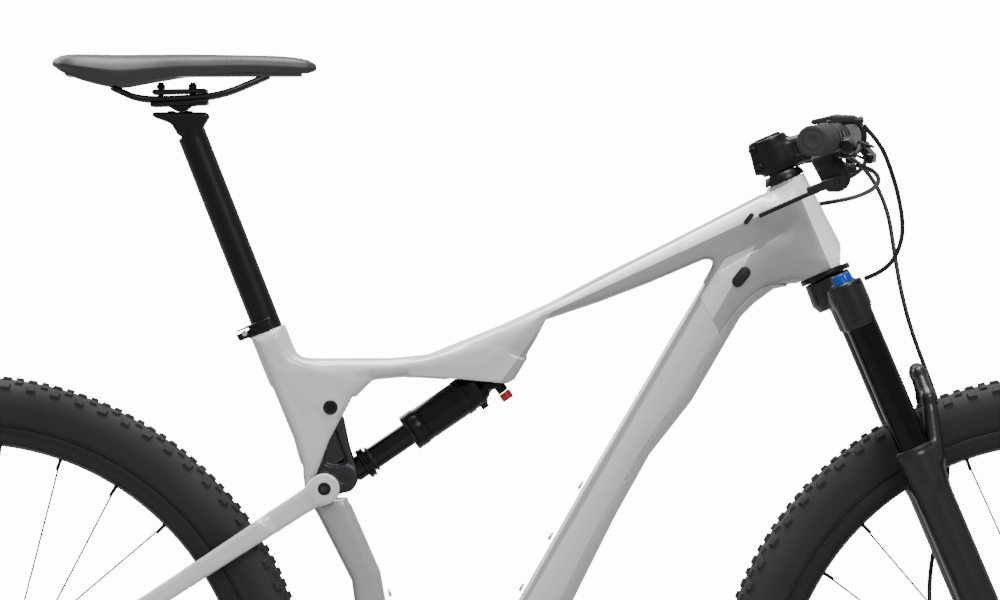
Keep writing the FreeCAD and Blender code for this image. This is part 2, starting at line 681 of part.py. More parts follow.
def bar_direction(side):
    """The outward direction of one side of the bar."""
    return (bar_point(300, side) - bar_point(100, side)).normalize()


def brake_bodies():
    """Brake master cylinders, each clamped on the bar and reaching ahead of it."""
    pieces = []
    for side in (-1, 1):
        outward = bar_direction(side)
        seat = bar_point(BRAKE_SEAT, side)
        clamp = ring(-7, 7, S["bar_radius"] + 0.1, 16, seat, outward, "Clamp")
        start = seat + LEVER_AHEAD * 23 - outward * 8
        cylinder = turned([(-14, 0), (44, 0), (44, 7), (40, 9), (-8, 9), (-14, 5)],
                          start, outward, "Cylinder")
        up = lever_up(side)
        bridge = block(seat + LEVER_AHEAD * 18.5, LEVER_AHEAD, up, 12, 13, 12, "Bridge")
        pivot = lever_pivot(side)
        ears = [block(pivot + up * level - LEVER_AHEAD * 4, LEVER_AHEAD, up, 20, 13, 2.6, "Ear")
                for level in (-7.3, 7.3)]
        pin = rod(pivot - up * 8.6, pivot + up * 8.6, S["lever_pin_radius"], "LeverPin")
        pieces.append(fused(clamp, cylinder, bridge, *ears, pin))
    return named("brake_bodies", grouped(*pieces))


def lever_up(side):
    """The direction of a brake lever's pin, square to the bar and to the reach of the lever."""
    up = bar_direction(side).cross(LEVER_AHEAD).normalize()
    return up if up.z > 0 else up * -1


def lever_pivot(side):
    """Where a brake lever's pin crosses the ears of its master cylinder."""
    return bar_point(BRAKE_SEAT + 2, side) + LEVER_AHEAD * 41


def brake_lever(side, label):
    """A curved brake lever blade with a hooked tip, on its own pivot."""
    pivot = lever_pivot(side)
    outline = [(0, -5), (16, -3), (60, 3), (104, -2), (110, 1), (104, 5), (60, 11), (16, 6), (0, 6), (-6, 0)]
    outline = [(along, side * ahead) for along, ahead in outline]
    half = S["lever_half_thickness"]
    blade = slab(outline, -half, half, "Blade")
    along = bar_direction(side)
    up = lever_up(side)
    turn = Rotation(along, up, LEVER_AHEAD, "XYZ")
    blade.Placement = Placement(pivot + turn.multVec(ACROSS * float(half)), turn)
    hole = rod(pivot - up * 12, pivot + up * 12, S["lever_pin_radius"] + RUN, "PinHole")
    return named(label, cut(blade, hole))


def control_bodies():
    """The shifter under the right side of the bar and the lockout remote's clamp above it."""
    seat = bar_point(SHIFTER_SEAT, -1)
    direction = bar_direction(-1)
    clamp = ring(-6, 6, S["bar_radius"] + 0.8, 15, seat, direction, "ShifterClamp")
    housing = block(seat + Vector(-6, 0, -34), Vector(1, 0, 0), Vector(0, 0, 1), 42, 26, 42, "Shifter")
    neck = block(seat + Vector(0, 0, -15.5), Vector(1, 0, 0), Vector(0, 0, 1), 12, 11, 8, "Neck")
    remote_seat = bar_point(REMOTE_SEAT, -1)
    remote_clamp = ring(-6, 6, S["bar_radius"] + 1.4, 15, remote_seat, direction, "RemoteClamp")
    remote = block(remote_seat + Vector(6, 0, 19), Vector(1, 0, 0), Vector(0, 0, 1), 28, 11, 10, "Remote")
    radius = S["lever_pin_radius"]
    shift_pin = rod(SHIFT_PIVOT + ACROSS * 2, SHIFT_PIVOT - ACROSS * 7, radius, "ShiftPin")
    remote_pin = rod(REMOTE_PIVOT - ACROSS * 2, REMOTE_PIVOT + ACROSS * 7, radius, "RemotePin")
    return named("control_bodies", grouped(fused(clamp, neck, housing, shift_pin),
                                           fused(remote_clamp, remote, remote_pin)))


SHIFT_PIVOT = bar_point(SHIFTER_SEAT, -1) + Vector(2, -14, -46)
REMOTE_PIVOT = bar_point(REMOTE_SEAT, -1) + Vector(8, 6, 19)


def shift_lever():
    """The thumb lever behind and below the shifter."""
    outline = [(8, -6), (8, 5), (-12, 4), (-46, -8), (-48, -15), (-14, -8)]
    points = [(SHIFT_PIVOT.x + x, SHIFT_PIVOT.z + z) for x, z in outline]
    low = SHIFT_PIVOT.y - 6
    blade = slab(points, Size(low, repr(low)), low + 6, "ThumbLever")
    hole = rod(SHIFT_PIVOT + ACROSS * 9, SHIFT_PIVOT - ACROSS * 9, S["lever_pin_radius"] + RUN, "PinHole")
    return named("shift_lever", cut(blade, hole))


def remote_lever():
    """The lockout remote's lever, on the inner side of its housing."""
    outline = [(6, -5), (6, 5), (-8, 6), (-34, 0), (-34, -5), (-8, -4)]
    points = [(REMOTE_PIVOT.x + x, REMOTE_PIVOT.z + z) for x, z in outline]
    low = REMOTE_PIVOT.y + 0.4
    blade = slab(points, Size(low, repr(low)), low + 6, "RemoteBlade")
    hole = rod(REMOTE_PIVOT + ACROSS * 9, REMOTE_PIVOT - ACROSS * 9, S["lever_pin_radius"] + RUN, "PinHole")
    return named("remote_lever", cut(blade, hole))


def fork_dial():
    """The compression dial on top of the right leg."""
    leg = steering(0, S["leg_offset"], -float(S["leg_y"]))
    return named("fork_dial", turned([(-18.7, 0), (-8, 0), (-8, 8), (-10, 11), (-18.7, 11)],
                                     leg, STEER_UP, "Dial"))


FRONT_HOSE = [Vector(*point) for point in (
    (354.6, 180.6, 981.6), (359, 161, 979), (377, 151, 968), (395, 143, 944), (407, 134, 913),
    (412, 123, 877), (418, 111, 836), (428, 103, 793), (443, 99, 751), (459, 98, 708),
    (470, 97, 663), (469, 96, 618), (459, 95, 573), (450, 90, 529), (448, 78, 487),
    (462, 60, 456), (486, 46, 441))]
LOCKOUT_CABLE = [Vector(*point) for point in (
    (368, -143, 1003), (386, -137, 985), (398, -128, 956), (408, -118, 922), (412, -107, 888),
    (403, -95, 862), (388, -86, 848), (372, -80, 842))]
REAR_HOSE = [Vector(*point) for point in (
    (354.6, -180.6, 981.6), (360, -161, 980), (371, -143, 973), (370, -118, 959), (352, -93, 947),
    (323, -69, 936), (291, -48, 922), (262, -34, 909))]
SHIFT_HOUSING = [Vector(*point) for point in (
    (361, -153, 961), (375, -138, 958), (385, -116, 950), (386, -89, 942), (380, -59, 936),
    (372, -27, 932), (364, 4, 929), (350, 32, 926), (326, 48, 922), (294, 46, 916), (262, 34, 908))]


# ---------------------------------------------------------------- wheels


def tyre(label, axle):
    """A tyre with rounded shoulders, hooked inside the rim."""
    outer = S["tyre_radius"]
    half = S["tyre_half_width"]
    beads = S["rim_outer_radius"]
    outline = [(-15.5, beads - 6), (-15.5, beads + 0.3), (-20, beads + 3), (-half + 1.5, outer - 37),
               (-half, outer - 26),
               (-half + 2, outer - 13), (-half + 7, outer - 7), (-14, outer - 2), (-5, outer),
               (5, outer), (14, outer - 2), (half - 7, outer - 7), (half - 2, outer - 13),
               (half, outer - 26), (half - 1.5, outer - 37), (20, beads + 3), (15.5, beads + 0.3),
               (15.5, beads - 6),
               (12, beads - 6), (13, beads + 4), (half - 5, outer - 30), (half - 8, outer - 14),
               (0, outer - 6), (-half + 8, outer - 14), (-half + 5, outer - 30), (-13, beads + 4),
               (-12, beads - 6)]
    return named(label, turned(outline, axle, ACROSS, "Tyre"))


def rim(label, axle):
    """A hooked rim, with the valve stem that stands inwards from it."""
    inner = S["rim_inner_radius"]
    half = S["rim_half_width"]
    edge = S["rim_outer_radius"]
    outline = [(-half, edge), (-half, edge - 9), (-12, inner + 3), (-6, inner), (6, inner), (12, inner + 3),
               (half, edge - 9), (half, edge), (half - 2.2, edge), (half - 2.2, edge - 6.3),
               (9, edge - 7), (5, edge - 10), (-5, edge - 10), (-9, edge - 7), (-half + 2.2, edge - 6.3),
               (-half + 2.2, edge)]
    hoop = turned(outline, axle, ACROSS, "Hoop")
    foot = axle + Vector(0, 0, -float(inner) - 2)
    valve = rod(foot, foot + Vector(0, 0, 42), 3, "Valve")
    return named(label, fused(hoop, valve))


def spokes(label, axle, left_flange, right_flange):
    """Laced spokes between two flanges and the rim, none touching another."""
    count = DRIVING_SIZES["spokes_per_wheel"]
    rim_radius = float(S["rim_inner_radius"]) - 0.4
    hub_radius = float(S["flange_radius"]) + 1.3
    wires = []
    for n in range(count):
        side = 1 if n % 2 else -1
        lean = 1 if (n // 2) % 2 else -1
        flange = float(left_flange if side > 0 else right_flange)
        rim_angle = 2 * math.pi * (n + 0.5) / count
        hub_angle = rim_angle + lean * math.radians(58)
        hub_across = flange + side * lean * 2.6
        start = axle + Vector(hub_radius * math.cos(hub_angle), hub_across, hub_radius * math.sin(hub_angle))
        end = axle + Vector(rim_radius * math.cos(rim_angle), side * 3.0, rim_radius * math.sin(rim_angle))
        wires.append(rod(start, end, S["spoke_radius"], "Spoke"))
    return named(label, grouped(*wires))


def hub(label, axle, half, flanges, rotor_y, freehub):
    """A hub shell with two flanges and a rotor seat, and a narrow freehub where it has a cassette."""
    bore = S["axle_radius"] + RUN
    barrel = S["hub_barrel_radius"]
    flange = S["flange_radius"]
    thick = S["flange_half"]
    right, left = flanges
    low = -half + GAP
    outline = [(low, bore), (half - GAP, bore), (half - GAP, 10.5), (rotor_y + 2.5, 10.5),
               (rotor_y + 2.5, S["rotor_seat_radius"]), (left + thick + 2, S["rotor_seat_radius"]),
               (left + thick, flange), (left - thick, flange), (left - thick - 4, barrel),
               (right + thick + 4, barrel), (right + thick, flange), (right - thick, flange)]
    if freehub:
        outline += [(right - thick - 1, S["freehub_radius"]), (low, S["freehub_radius"])]
    else:
        outline += [(right - thick - 2, barrel), (low + 6, barrel), (low + 6, 10.5), (low, 10.5)]
    return named(label, turned(outline, axle, ACROSS, "Hub"))


def rotor(label, axle, across):
    """A brake disc: a drilled braking ring on slim arms."""
    half = S["rotor_half_thickness"]
    centre = axle + ACROSS * float(across)
    outer = ring(-half, half, 66, S["rotor_radius"], centre, ACROSS, "BrakeRing")
    inner = ring(-half, half, S["rotor_seat_radius"] + SEAT, 25, centre, ACROSS, "Carrier")
    arms = []
    for n in range(6):
        angle = math.radians(60 * n + 20)
        out = Vector(math.cos(angle), 0, math.sin(angle))
        lean = Vector(math.cos(angle + 0.35), 0, math.sin(angle + 0.35))
        middle = centre + (out * 22 + lean * 68) * 0.5
        along = (lean * 68 - out * 22).normalize()
        arms.append(block(middle, along, ACROSS, 51, 6, 2 * half, "Arm"))
    return named(label, fused(outer, inner, *arms))


def pitch_radius(teeth):
    return float(S["tooth_pitch"]) / 2 / math.sin(math.pi / teeth)


def cassette():
    """Twelve cogs on one sleeve that runs on the freehub."""
    pieces = [ring(-71.5, -25.5, S["freehub_radius"] + RUN, 16, REAR_AXLE, ACROSS, "Sleeve")]
    for n, teeth in enumerate(COG_TEETH):
        across = -68 + n * S["cog_spacing"]
        pieces.append(ring(across - 0.85, across + 0.85, 15, pitch_radius(teeth) + 3, REAR_AXLE, ACROSS, "Cog"))
    return named("cassette", fused(*pieces))


# ---------------------------------------------------------------- swingarm

STAY_INNER = [(0, 74), (45, 74), (110, 60), (255, 36.5), (375, 36.5), (390, 29.5), (480, 29.5)]


def stay_inner(reach):
    """How far a stay's inner face stands out at a distance from the rear axle."""
    for (near, low), (far, high) in zip(STAY_INNER, STAY_INNER[1:]):
        if reach <= far:
            return low + (high - low) * (reach - near) / (far - near)
    return STAY_INNER[-1][1]


def stay(side, points, thickness):
    """A stay through centre points given as (x, z, half depth), leaning in past the wheel."""
    sections = []
    for index, (x, z, half) in enumerate(points):
        before = points[max(index - 1, 0)]
        after = points[min(index + 1, len(points) - 1)]
        along = Vector(after[0] - before[0], 0, after[1] - before[1]).normalize()
        up = Vector(-along.z, 0, along.x)
        reach = (Vector(x, 0, z) - REAR_AXLE).Length
        inner = stay_inner(reach)
        centre = Vector(x, 0, z)
        section = []
        for level, depth in ((-1, inner), (1, inner), (1, inner + thickness), (-1, inner + thickness)):
            section.append(centre + up * (half * level) + ACROSS * side * depth)
        sections.append(section)
    return faceted(sections, "Stay")


def swingarm():
    """Chainstays, seatstays and dropouts in one piece, joined by a bridge behind the seat tube."""
    pieces = []
    main = place("main_pivot")
    upper = place("stay_pivot")
    seat_reach = (upper - REAR_AXLE)
    for side in (-1, 1):
        chain_points = [(-572, 368, 12), (-520, 362, 11), (-470, 358, 11), (-400, 354, 12), (-330, 352, 13),
                        (-262, 356, 14), (-215, 368, 15), (-186, 383, 15), (-160, 394, 15)]
        pieces.append(stay(side, chain_points, 11.5))
        seat_points = []
        for share, half in ((0.03, 11), (0.1, 9.5), (0.25, 9), (0.45, 9.5), (0.62, 10), (0.82, 11),
                            (0.86, 11.5), (0.95, 12), (0.985, 12.5)):
            point = REAR_AXLE + seat_reach * share
            seat_points.append((point.x, point.z, half))
        pieces.append(stay(side, seat_points, 11))
        pieces.append(ring(29.5, 41, 0, 16.5, upper, ACROSS * side, "StayEye"))
        pieces.append(turned([(28, 0), (48.2, 0), (48.2, 17), (36, 17), (36, 13), (28, 13)],
                             main, ACROSS * side, "MainEye"))
        pieces.append(ring(74, 85, 0, 19, REAR_AXLE, ACROSS * side, "Dropout"))
    pieces.append(slab([(-597, 360), (-575, 360), (-574, 334), (-599, 334)], Size(-85, "-85"), -75, "Hanger"))
    pieces.append(block(Vector(-188, 0, 390), Vector(1, 0, 0), Vector(0, 0, 1), 24, 94, 26, "Bridge"))
    bores = [ring(-60, 60, 0, 4.0 + SEAT, upper, ACROSS, "StayBore"),
             ring(-60, 60, 0, S["axle_radius"] + SEAT, main, ACROSS, "MainBore"),
             ring(-100, 100, 0, S["axle_radius"] + SEAT, REAR_AXLE, ACROSS, "AxleBore")]
    return named("swingarm", cut(fused(*pieces), *bores))


def stay_pivot_bolts():
    """The bolt through the link and both seatstays, and the main pivot's axle."""
    upper = turned([(-43, 0), (43, 0), (43, 7.2), (41.1, 7.2), (41.1, 4), (-41.1, 4), (-41.1, 7.2),
                    (-43, 7.2)], place("stay_pivot"), ACROSS, "UpperBolt")
    main = turned([(-49.7, 0), (49.7, 0), (49.7, 9), (48.3, 9), (48.3, S["axle_radius"]),
                   (-48.3, S["axle_radius"]), (-48.3, 9), (-49.7, 9)], place("main_pivot"), ACROSS, "MainAxle")
    return named("stay_pivot_bolts", grouped(upper, main))


def rocker_link():
    """The link: held at the frame, driven by the stays and driving the shock through its fork."""
    outline = [(-182, 697), (-176, 667), (-171, 650), (-166.5, 640), (-166, 630), (-172, 616), (-188, 612),
               (-206, 606), (-212, 640), (-207, 690)]
    plate = slab(outline, -18, 18, "Plate")
    top = ring(-18, 18, 0, 13, place("link_pivot"), ACROSS, "TopBoss")
    low = ring(-18, 18, 0, 16, place("stay_pivot"), ACROSS, "LowBoss")
    eye = ring(-18, 18, 0, 14, SHOCK_REAR, ACROSS, "ShockEye")
    fork_gap = fused(ring(-12, 12, 0, 17, SHOCK_REAR, ACROSS, "EyeGap"),
                     block(shock_line(15), SHOCK_ALONG, SHOCK_DOWN, 46, 28, 36, "NeckGap"))
    bores = [ring(-30, 30, 0, S["axle_radius"] + RUN, place("link_pivot"), ACROSS, "TopBore"),
             ring(-30, 30, 0, 11.2, place("stay_pivot"), ACROSS, "LowBore"),
             ring(-30, 30, 0, 5 + SEAT, SHOCK_REAR, ACROSS, "EyeBore")]
    pin = ring(-18, 18, 0, 5, SHOCK_REAR, ACROSS, "ShockPin")
    return named("rocker_link", grouped(cut(fused(plate, top, low, eye), fork_gap, *bores), pin))


def shock_shaft():
    """The shock's shaft, with its rear eye and a collar."""
    length = 130
    shaft = ring(12, length, 0, S["shock_shaft_radius"], SHOCK_REAR, SHOCK_ALONG, "Shaft")
    collar = ring(25, 33, 0, 17, SHOCK_REAR, SHOCK_ALONG, "Collar")
    eye = ring(-11.5, 11.5, 0, 12.5, SHOCK_REAR, ACROSS, "Eye")
    bore = ring(-15, 15, 0, 7.4, SHOCK_REAR, ACROSS, "EyeBore")
    return named("shock_shaft", cut(fused(shaft, collar, eye), bore))


def shock_body():
    """The air can with its thick front collar, the front eye and the adjuster's boss."""
    start = S["shock_can_start"]
    outer = S["shock_can_radius"]
    can = turned([(start, 0), (180, 0), (180, 14), (174, outer - 1), (start + 18, outer - 1),
                  (start + 16, outer), (start, outer)], SHOCK_REAR, SHOCK_ALONG, "Can")
    neck = ring(178, 186, 0, 12, SHOCK_REAR, SHOCK_ALONG, "Neck")
    eye = ring(-11, 11, 0, 12, SHOCK_FRONT, ACROSS, "Eye")
    boss = ring(6, 20.5, 0, 6, shock_line(193), SHOCK_DOWN, "Boss")
    shaft_bore = ring(start - 2, 175.5, 0, S["shock_shaft_radius"] + RUN, SHOCK_REAR, SHOCK_ALONG, "ShaftBore")
    eye_bore = ring(-15, 15, 0, 5 + RUN, SHOCK_FRONT, ACROSS, "EyeBore")
    return named("shock_body", cut(fused(can, neck, eye, boss), shaft_bore, eye_bore))


def shock_knob():
    """The rebound knob under the shock's front end."""
    return named("shock_knob", turned([(20.8, 0), (30, 0), (30, 5.5), (28.5, 6.5), (20.8, 6.5)],
                                      shock_line(193), SHOCK_DOWN, "Knob"))


def rear_axle():
    """The through axle with its head on the left and a nut face on the right."""
    return named("rear_axle", turned([(-86.5, 0), (87, 0), (87, 8.5), (85.1, 8.5), (85.1, S["axle_radius"]),
                                      (-86.5, S["axle_radius"])], REAR_AXLE, ACROSS, "Axle"))


def front_axle():
    """The through axle with its head on the left."""
    return named("front_axle", turned([(-74, 0), (77, 0), (77, 8.5), (74.6, 8.5), (74.6, S["axle_radius"]),
                                       (-74, S["axle_radius"])], FRONT_AXLE, ACROSS, "Axle"))


def caliper(label, centre, along, up, low, high, rotor_y):
    """A brake caliper: a block with the rotor's slot through it."""
    centre = Vector(centre.x, (low + high) / 2.0, centre.z)
    body = block(centre, along, up, 56, high - low, 28, "CaliperBody")
    slot_centre = Vector(centre.x, float(rotor_y), centre.z)
    slot = block(slot_centre, along, up, 60, 3.0, 30, "RotorSlot")
    bridge_centre = centre + up * 15.5
    bridge = block(bridge_centre, along, up, 40, high - low, 6, "CaliperBridge")
    return named(label, fused(cut(body, slot), bridge))


def calipers():
    """The front caliper behind the left leg and the rear one between the left stays."""
    back = (STEER_UP * 46 - STEER_AHEAD * 60).normalize()
    ahead = Vector(math.cos(math.radians(15)), 0, math.sin(math.radians(15)))
    for label, axle, out, low, high, rotor_y in (
            ("front_caliper", FRONT_AXLE, back, 31, 49.3, S["front_rotor_y"]),
            ("rear_caliper", REAR_AXLE, ahead, 48, 64, S["rear_rotor_y"])):
        along = Vector(-out.z, 0, out.x)
        caliper(label, axle + out * 74, along, out, low, high, rotor_y)


# ---------------------------------------------------------------- drivetrain


def chainring():
    """The chainring and its spider on the crank spindle."""
    radius = pitch_radius(DRIVING_SIZES["chainring_teeth"])
    centre = place("bottom_bracket", -float(S["chain_line"]))
    band = ring(-0.85, 0.85, radius - 12, radius + 3, centre, ACROSS, "ToothBand")
    carrier = ring(-0.85, 0.85, S["spindle_radius"] + SEAT, 24, centre, ACROSS, "Carrier")
    arms = []
    for n in range(8):
        angle = math.radians(45 * n)
        out = Vector(math.cos(angle), 0, math.sin(angle))
        arms.append(block(centre + out * 37, out, ACROSS, 36, 7, 1.7, "Arm"))
    return named("chainring", fused(band, carrier, *arms))


def pedal_centre(side):
    """The right crank points ahead and the left one behind."""
    return place("bottom_bracket") + Vector(-side * float(S["crank_length"]), 0, 0)


def crank_arms():
    """Both crank arms with the spindle between them."""
    middle = place("bottom_bracket")
    half = S["crank_half_thickness"]
    pieces = [ring(-66, 66, 0, S["spindle_radius"], middle, ACROSS, "Spindle")]
    bores = [ring(-60, 60, 0, 11, middle, ACROSS, "SpindleBore")]
    for side in (-1, 1):
        reach = -side * float(S["crank_length"])
        tip = middle.x + reach
        direction = 1 if reach > 0 else -1
        outline = [(middle.x - direction * 20, middle.z - 9), (middle.x - direction * 20, middle.z + 9),
                   (middle.x, middle.z + 19), (middle.x + direction * 30, middle.z + 14),
                   (tip - direction * 20, middle.z + 11), (tip, middle.z + 14), (tip + direction * 14, middle.z + 5),
                   (tip + direction * 14, middle.z - 5), (tip, middle.z - 14), (tip - direction * 20, middle.z - 11),
                   (middle.x + direction * 30, middle.z - 14), (middle.x, middle.z - 19)]
        low = side * S["crank_y"] - half
        pieces.append(slab(outline, low, low + 2 * half, "CrankArm"))
        bores.append(ring(50, 80, 0, 7, pedal_centre(side), ACROSS * side, "PedalBore"))
    return named("crank_arms", cut(fused(*pieces), *bores))


def pedal(side, label):
    """A flat platform pedal, open between its rims, on its own spindle."""
    centre = pedal_centre(side)
    spindle = turned([(58, 0), (90, 0), (90, 8), (78, 8), (78, 7.3), (72, 7.3), (72, 6.92), (58, 6.92)],
                     centre, ACROSS * side, "Spindle")
    barrel = ring(88, 180, 0, 9, centre, ACROSS * side, "Barrel")
    body_centre = centre + ACROSS * side * 138
    platform = block(body_centre, Vector(1, 0, 0), Vector(0, 0, 1), 92, 96, 14, "Platform")
    windows = []
    for ahead in (-1, 1):
        window_centre = body_centre + Vector(ahead * 25, 0, 0)
        windows.append(block(window_centre, Vector(1, 0, 0), Vector(0, 0, 1), 26, 74, 20, "Window"))
    return named(label, fused(spindle, barrel, cut(platform, *windows)))


PULLEY_RADIUS = pitch_radius(DRIVING_SIZES["pulley_teeth"])


def wrap_points(centre, radius, start_angle, sweep, count):
    """Points around a wheel that the chain wraps, in the side plane."""
    points = []
    for n in range(count + 1):
        angle = start_angle + sweep * n / count
        points.append(Vector(centre.x + radius * math.cos(angle), 0, centre.z + radius * math.sin(angle)))
    return points


def tangent_angle(near, near_radius, far, far_radius, side, crossed):
    """The angle on both circles where the straight chain run between them touches."""
    delta = far - near
    distance = delta.Length
    heading = math.atan2(delta.z, delta.x)
    radii = near_radius + far_radius if crossed else near_radius - far_radius
    lean = math.acos(radii / distance)
    return heading + side * lean


def chain_route():
    """The chain's closed pitch line round the chainring, the driven cog and the two pulleys."""
    ring_centre = place("bottom_bracket")
    ring_radius = pitch_radius(DRIVING_SIZES["chainring_teeth"])
    cog_radius = pitch_radius(DRIVING_SIZES["driven_cog_teeth"])
    guide = place("guide_pulley")
    tension = place("tension_pulley")
    top = tangent_angle(REAR_AXLE, cog_radius, ring_centre, ring_radius, 1, False)
    low = tangent_angle(ring_centre, ring_radius, tension, PULLEY_RADIUS, 1, False)
    between = tangent_angle(tension, PULLEY_RADIUS, guide, PULLEY_RADIUS, 1, True)
    feed = tangent_angle(guide, PULLEY_RADIUS, REAR_AXLE, cog_radius, -1, True)
    full = 2 * math.pi
    route = []
    route += wrap_points(ring_centre, ring_radius, top, -((top - low) % full), 14)
    route += wrap_points(tension, PULLEY_RADIUS, low, -((low - between) % full), 9)
    route += wrap_points(guide, PULLEY_RADIUS, between + math.pi, (feed - between - math.pi) % full, 9)
    route += wrap_points(REAR_AXLE, cog_radius, feed + math.pi, -((feed + math.pi - top) % full), 12)
    return route


def offset_route(route, distance):
    """The route moved sideways in its own plane, corner by corner."""
    moved = []
    count = len(route)
    for n, point in enumerate(route):
        along = (route[(n + 1) % count] - route[n - 1]).normalize()
        moved.append(point + Vector(-along.z, 0, along.x) * distance)
    return moved


def chain():
    """The chain's inner and outer plates as two bands along the pitch line."""
    route = chain_route()
    half = float(S["chain_half_height"])
    bands = []
    for across in (-1, 1):
        middle = -float(S["chain_line"]) + across * 2.2
        feature = document.addObject("Part::Feature", "Band")
        outer = [point + ACROSS * (middle - 0.6) for point in offset_route(route, half)]
        inner = [point + ACROSS * (middle - 0.6) for point in offset_route(route, -half)]
        faces = [Part.Face(Part.makePolygon(line + [line[0]])) for line in (outer, inner)]
        big, small = sorted(faces, key=lambda face: -face.Area)
        feature.Shape = big.cut(small).extrude(ACROSS * 1.2)
        bands.append(feature)
    return named("chain", grouped(*bands))


def derailleur_housing():
    """The derailleur's knuckle and hanger bolt, outside the right dropout."""
    knuckle = slab([(-600, 352), (-570, 352), (-562, 330), (-566, 306), (-590, 306), (-602, 330)], -98, -88, "Knuckle")
    bolt = ring(-96, -85.2, 0, 7, REAR_AXLE + Vector(-4, 0, -24), ACROSS, "HangerBolt")
    return named("derailleur_housing", fused(knuckle, bolt))


def derailleur_body():
    """The parallelogram links and the outer knuckle that carries the cage."""
    links = slab([(-592, 298), (-572, 298), (-546, 252), (-556, 240), (-574, 240)], Size(-92, "-92"), -72, "Links")
    knuckle = ring(-92, -62.5, 0, 13, place("guide_pulley"), ACROSS, "Knuckle")
    return named("derailleur_body", fused(links, knuckle))


def derailleur_cage():
    """Two cage plates with the pulley pins between them."""
    guide = place("guide_pulley")
    tension = place("tension_pulley")
    along = (tension - guide).normalize()
    up = Vector(-along.z, 0, along.x)
    plates = []
    for low, high in ((-62, -60), (-47, -45)):
        corners = [guide - along * 12 + up * 6, guide - along * 12 - up * 6, tension + along * 12 - up * 6,
                   tension + along * 12 + up * 6]
        plates.append(slab([(point.x, point.z) for point in corners], Size(low, repr(float(low))), high, "CagePlate"))
    pins = [rod(centre + ACROSS * -61, centre + ACROSS * -46, 3, "Pin") for centre in (guide, tension)]
    return named("derailleur_cage", fused(*plates, *pins))


def pulley(name, label):
    """A small toothed pulley."""
    centre = place(name, -float(S["chain_line"]))
    return named(label, ring(-0.9, 0.9, 3 + RUN, PULLEY_RADIUS + 2.5, centre, ACROSS, "Pulley"))


# ---------------------------------------------------------------- assembly


def build_all():
    """Build every sub-part."""
    main_frame()
    headset()
    bottom_bracket()
    seat_clamp()
    pivot_bolts()
    bottle_bolts()
    port_plugs()
    seatpost()
    saddle_clamp()
    saddle_rails()
    saddle_pad()
    saddle_base()
    fork_crown()
    stanchions()
    fork_lowers()
    stem()
    stem_bolts()
    handlebar()
    grips()
    brake_bodies()
    brake_lever(1, "brake_lever_left")
    brake_lever(-1, "brake_lever_right")
    control_bodies()
    shift_lever()
    remote_lever()
    fork_dial()
    named("front_brake_hose", hose("front_brake_hose", FRONT_HOSE))
    named("lockout_cable", hose("lockout_cable", LOCKOUT_CABLE))
    named("frame_hoses", grouped(hose("RearBrakeHose", REAR_HOSE), hose("ShiftHousing", SHIFT_HOUSING)))
    for end, axle in (("front", FRONT_AXLE), ("rear", REAR_AXLE)):
        tyre(end + "_tyre", axle)
        rim(end + "_rim", axle)
    spokes("front_spokes", FRONT_AXLE, S["front_flange_y"], -S["front_flange_y"])
    spokes("rear_spokes", REAR_AXLE, S["rear_left_flange_y"], S["rear_right_flange_y"])
    hub("front_hub", FRONT_AXLE, S["front_hub_half"], (-S["front_flange_y"], S["front_flange_y"]),
        S["front_rotor_y"], False)
    hub("rear_hub", REAR_AXLE, S["rear_hub_half"], (S["rear_right_flange_y"], S["rear_left_flange_y"]),
        S["rear_rotor_y"], True)
    rotor("front_rotor", FRONT_AXLE, S["front_rotor_y"])
    rotor("rear_rotor", REAR_AXLE, S["rear_rotor_y"])
    front_axle()
    rear_axle()
    calipers()
    swingarm()
    stay_pivot_bolts()
    rocker_link()
    shock_shaft()
    shock_body()
    shock_knob()
    cassette()
    crank_arms()
    chainring()
    chain()
    pedal(1, "pedal_left")
    pedal(-1, "pedal_right")
    derailleur_housing()
    derailleur_body()
    derailleur_cage()
    pulley("guide_pulley", "guide_pulley")
    pulley("tension_pulley", "tension_pulley")


def check_and_write():
    """Recompute, test every object and write one file for each sub-part."""
    document.recompute()
    faults = []
    for item in document.Objects:
        if "Invalid" in item.State or "Error" in item.State:
            faults.append("%s (%s) is %s" % (item.Label, item.Name, item.State))
    for piece in sub_parts:
        if piece.Shape.isNull() or not piece.Shape.isValid():
            faults.append(piece.Label + " has no valid shape")
    if faults:
        raise RuntimeError("; ".join(faults))
    os.makedirs("parts", exist_ok=True)
    for piece in sub_parts:
        piece.Shape.exportStep("parts/%s.step" % piece.Label)
    print(len(sub_parts), "sub-parts")


build_all()
check_and_write()
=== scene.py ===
import math

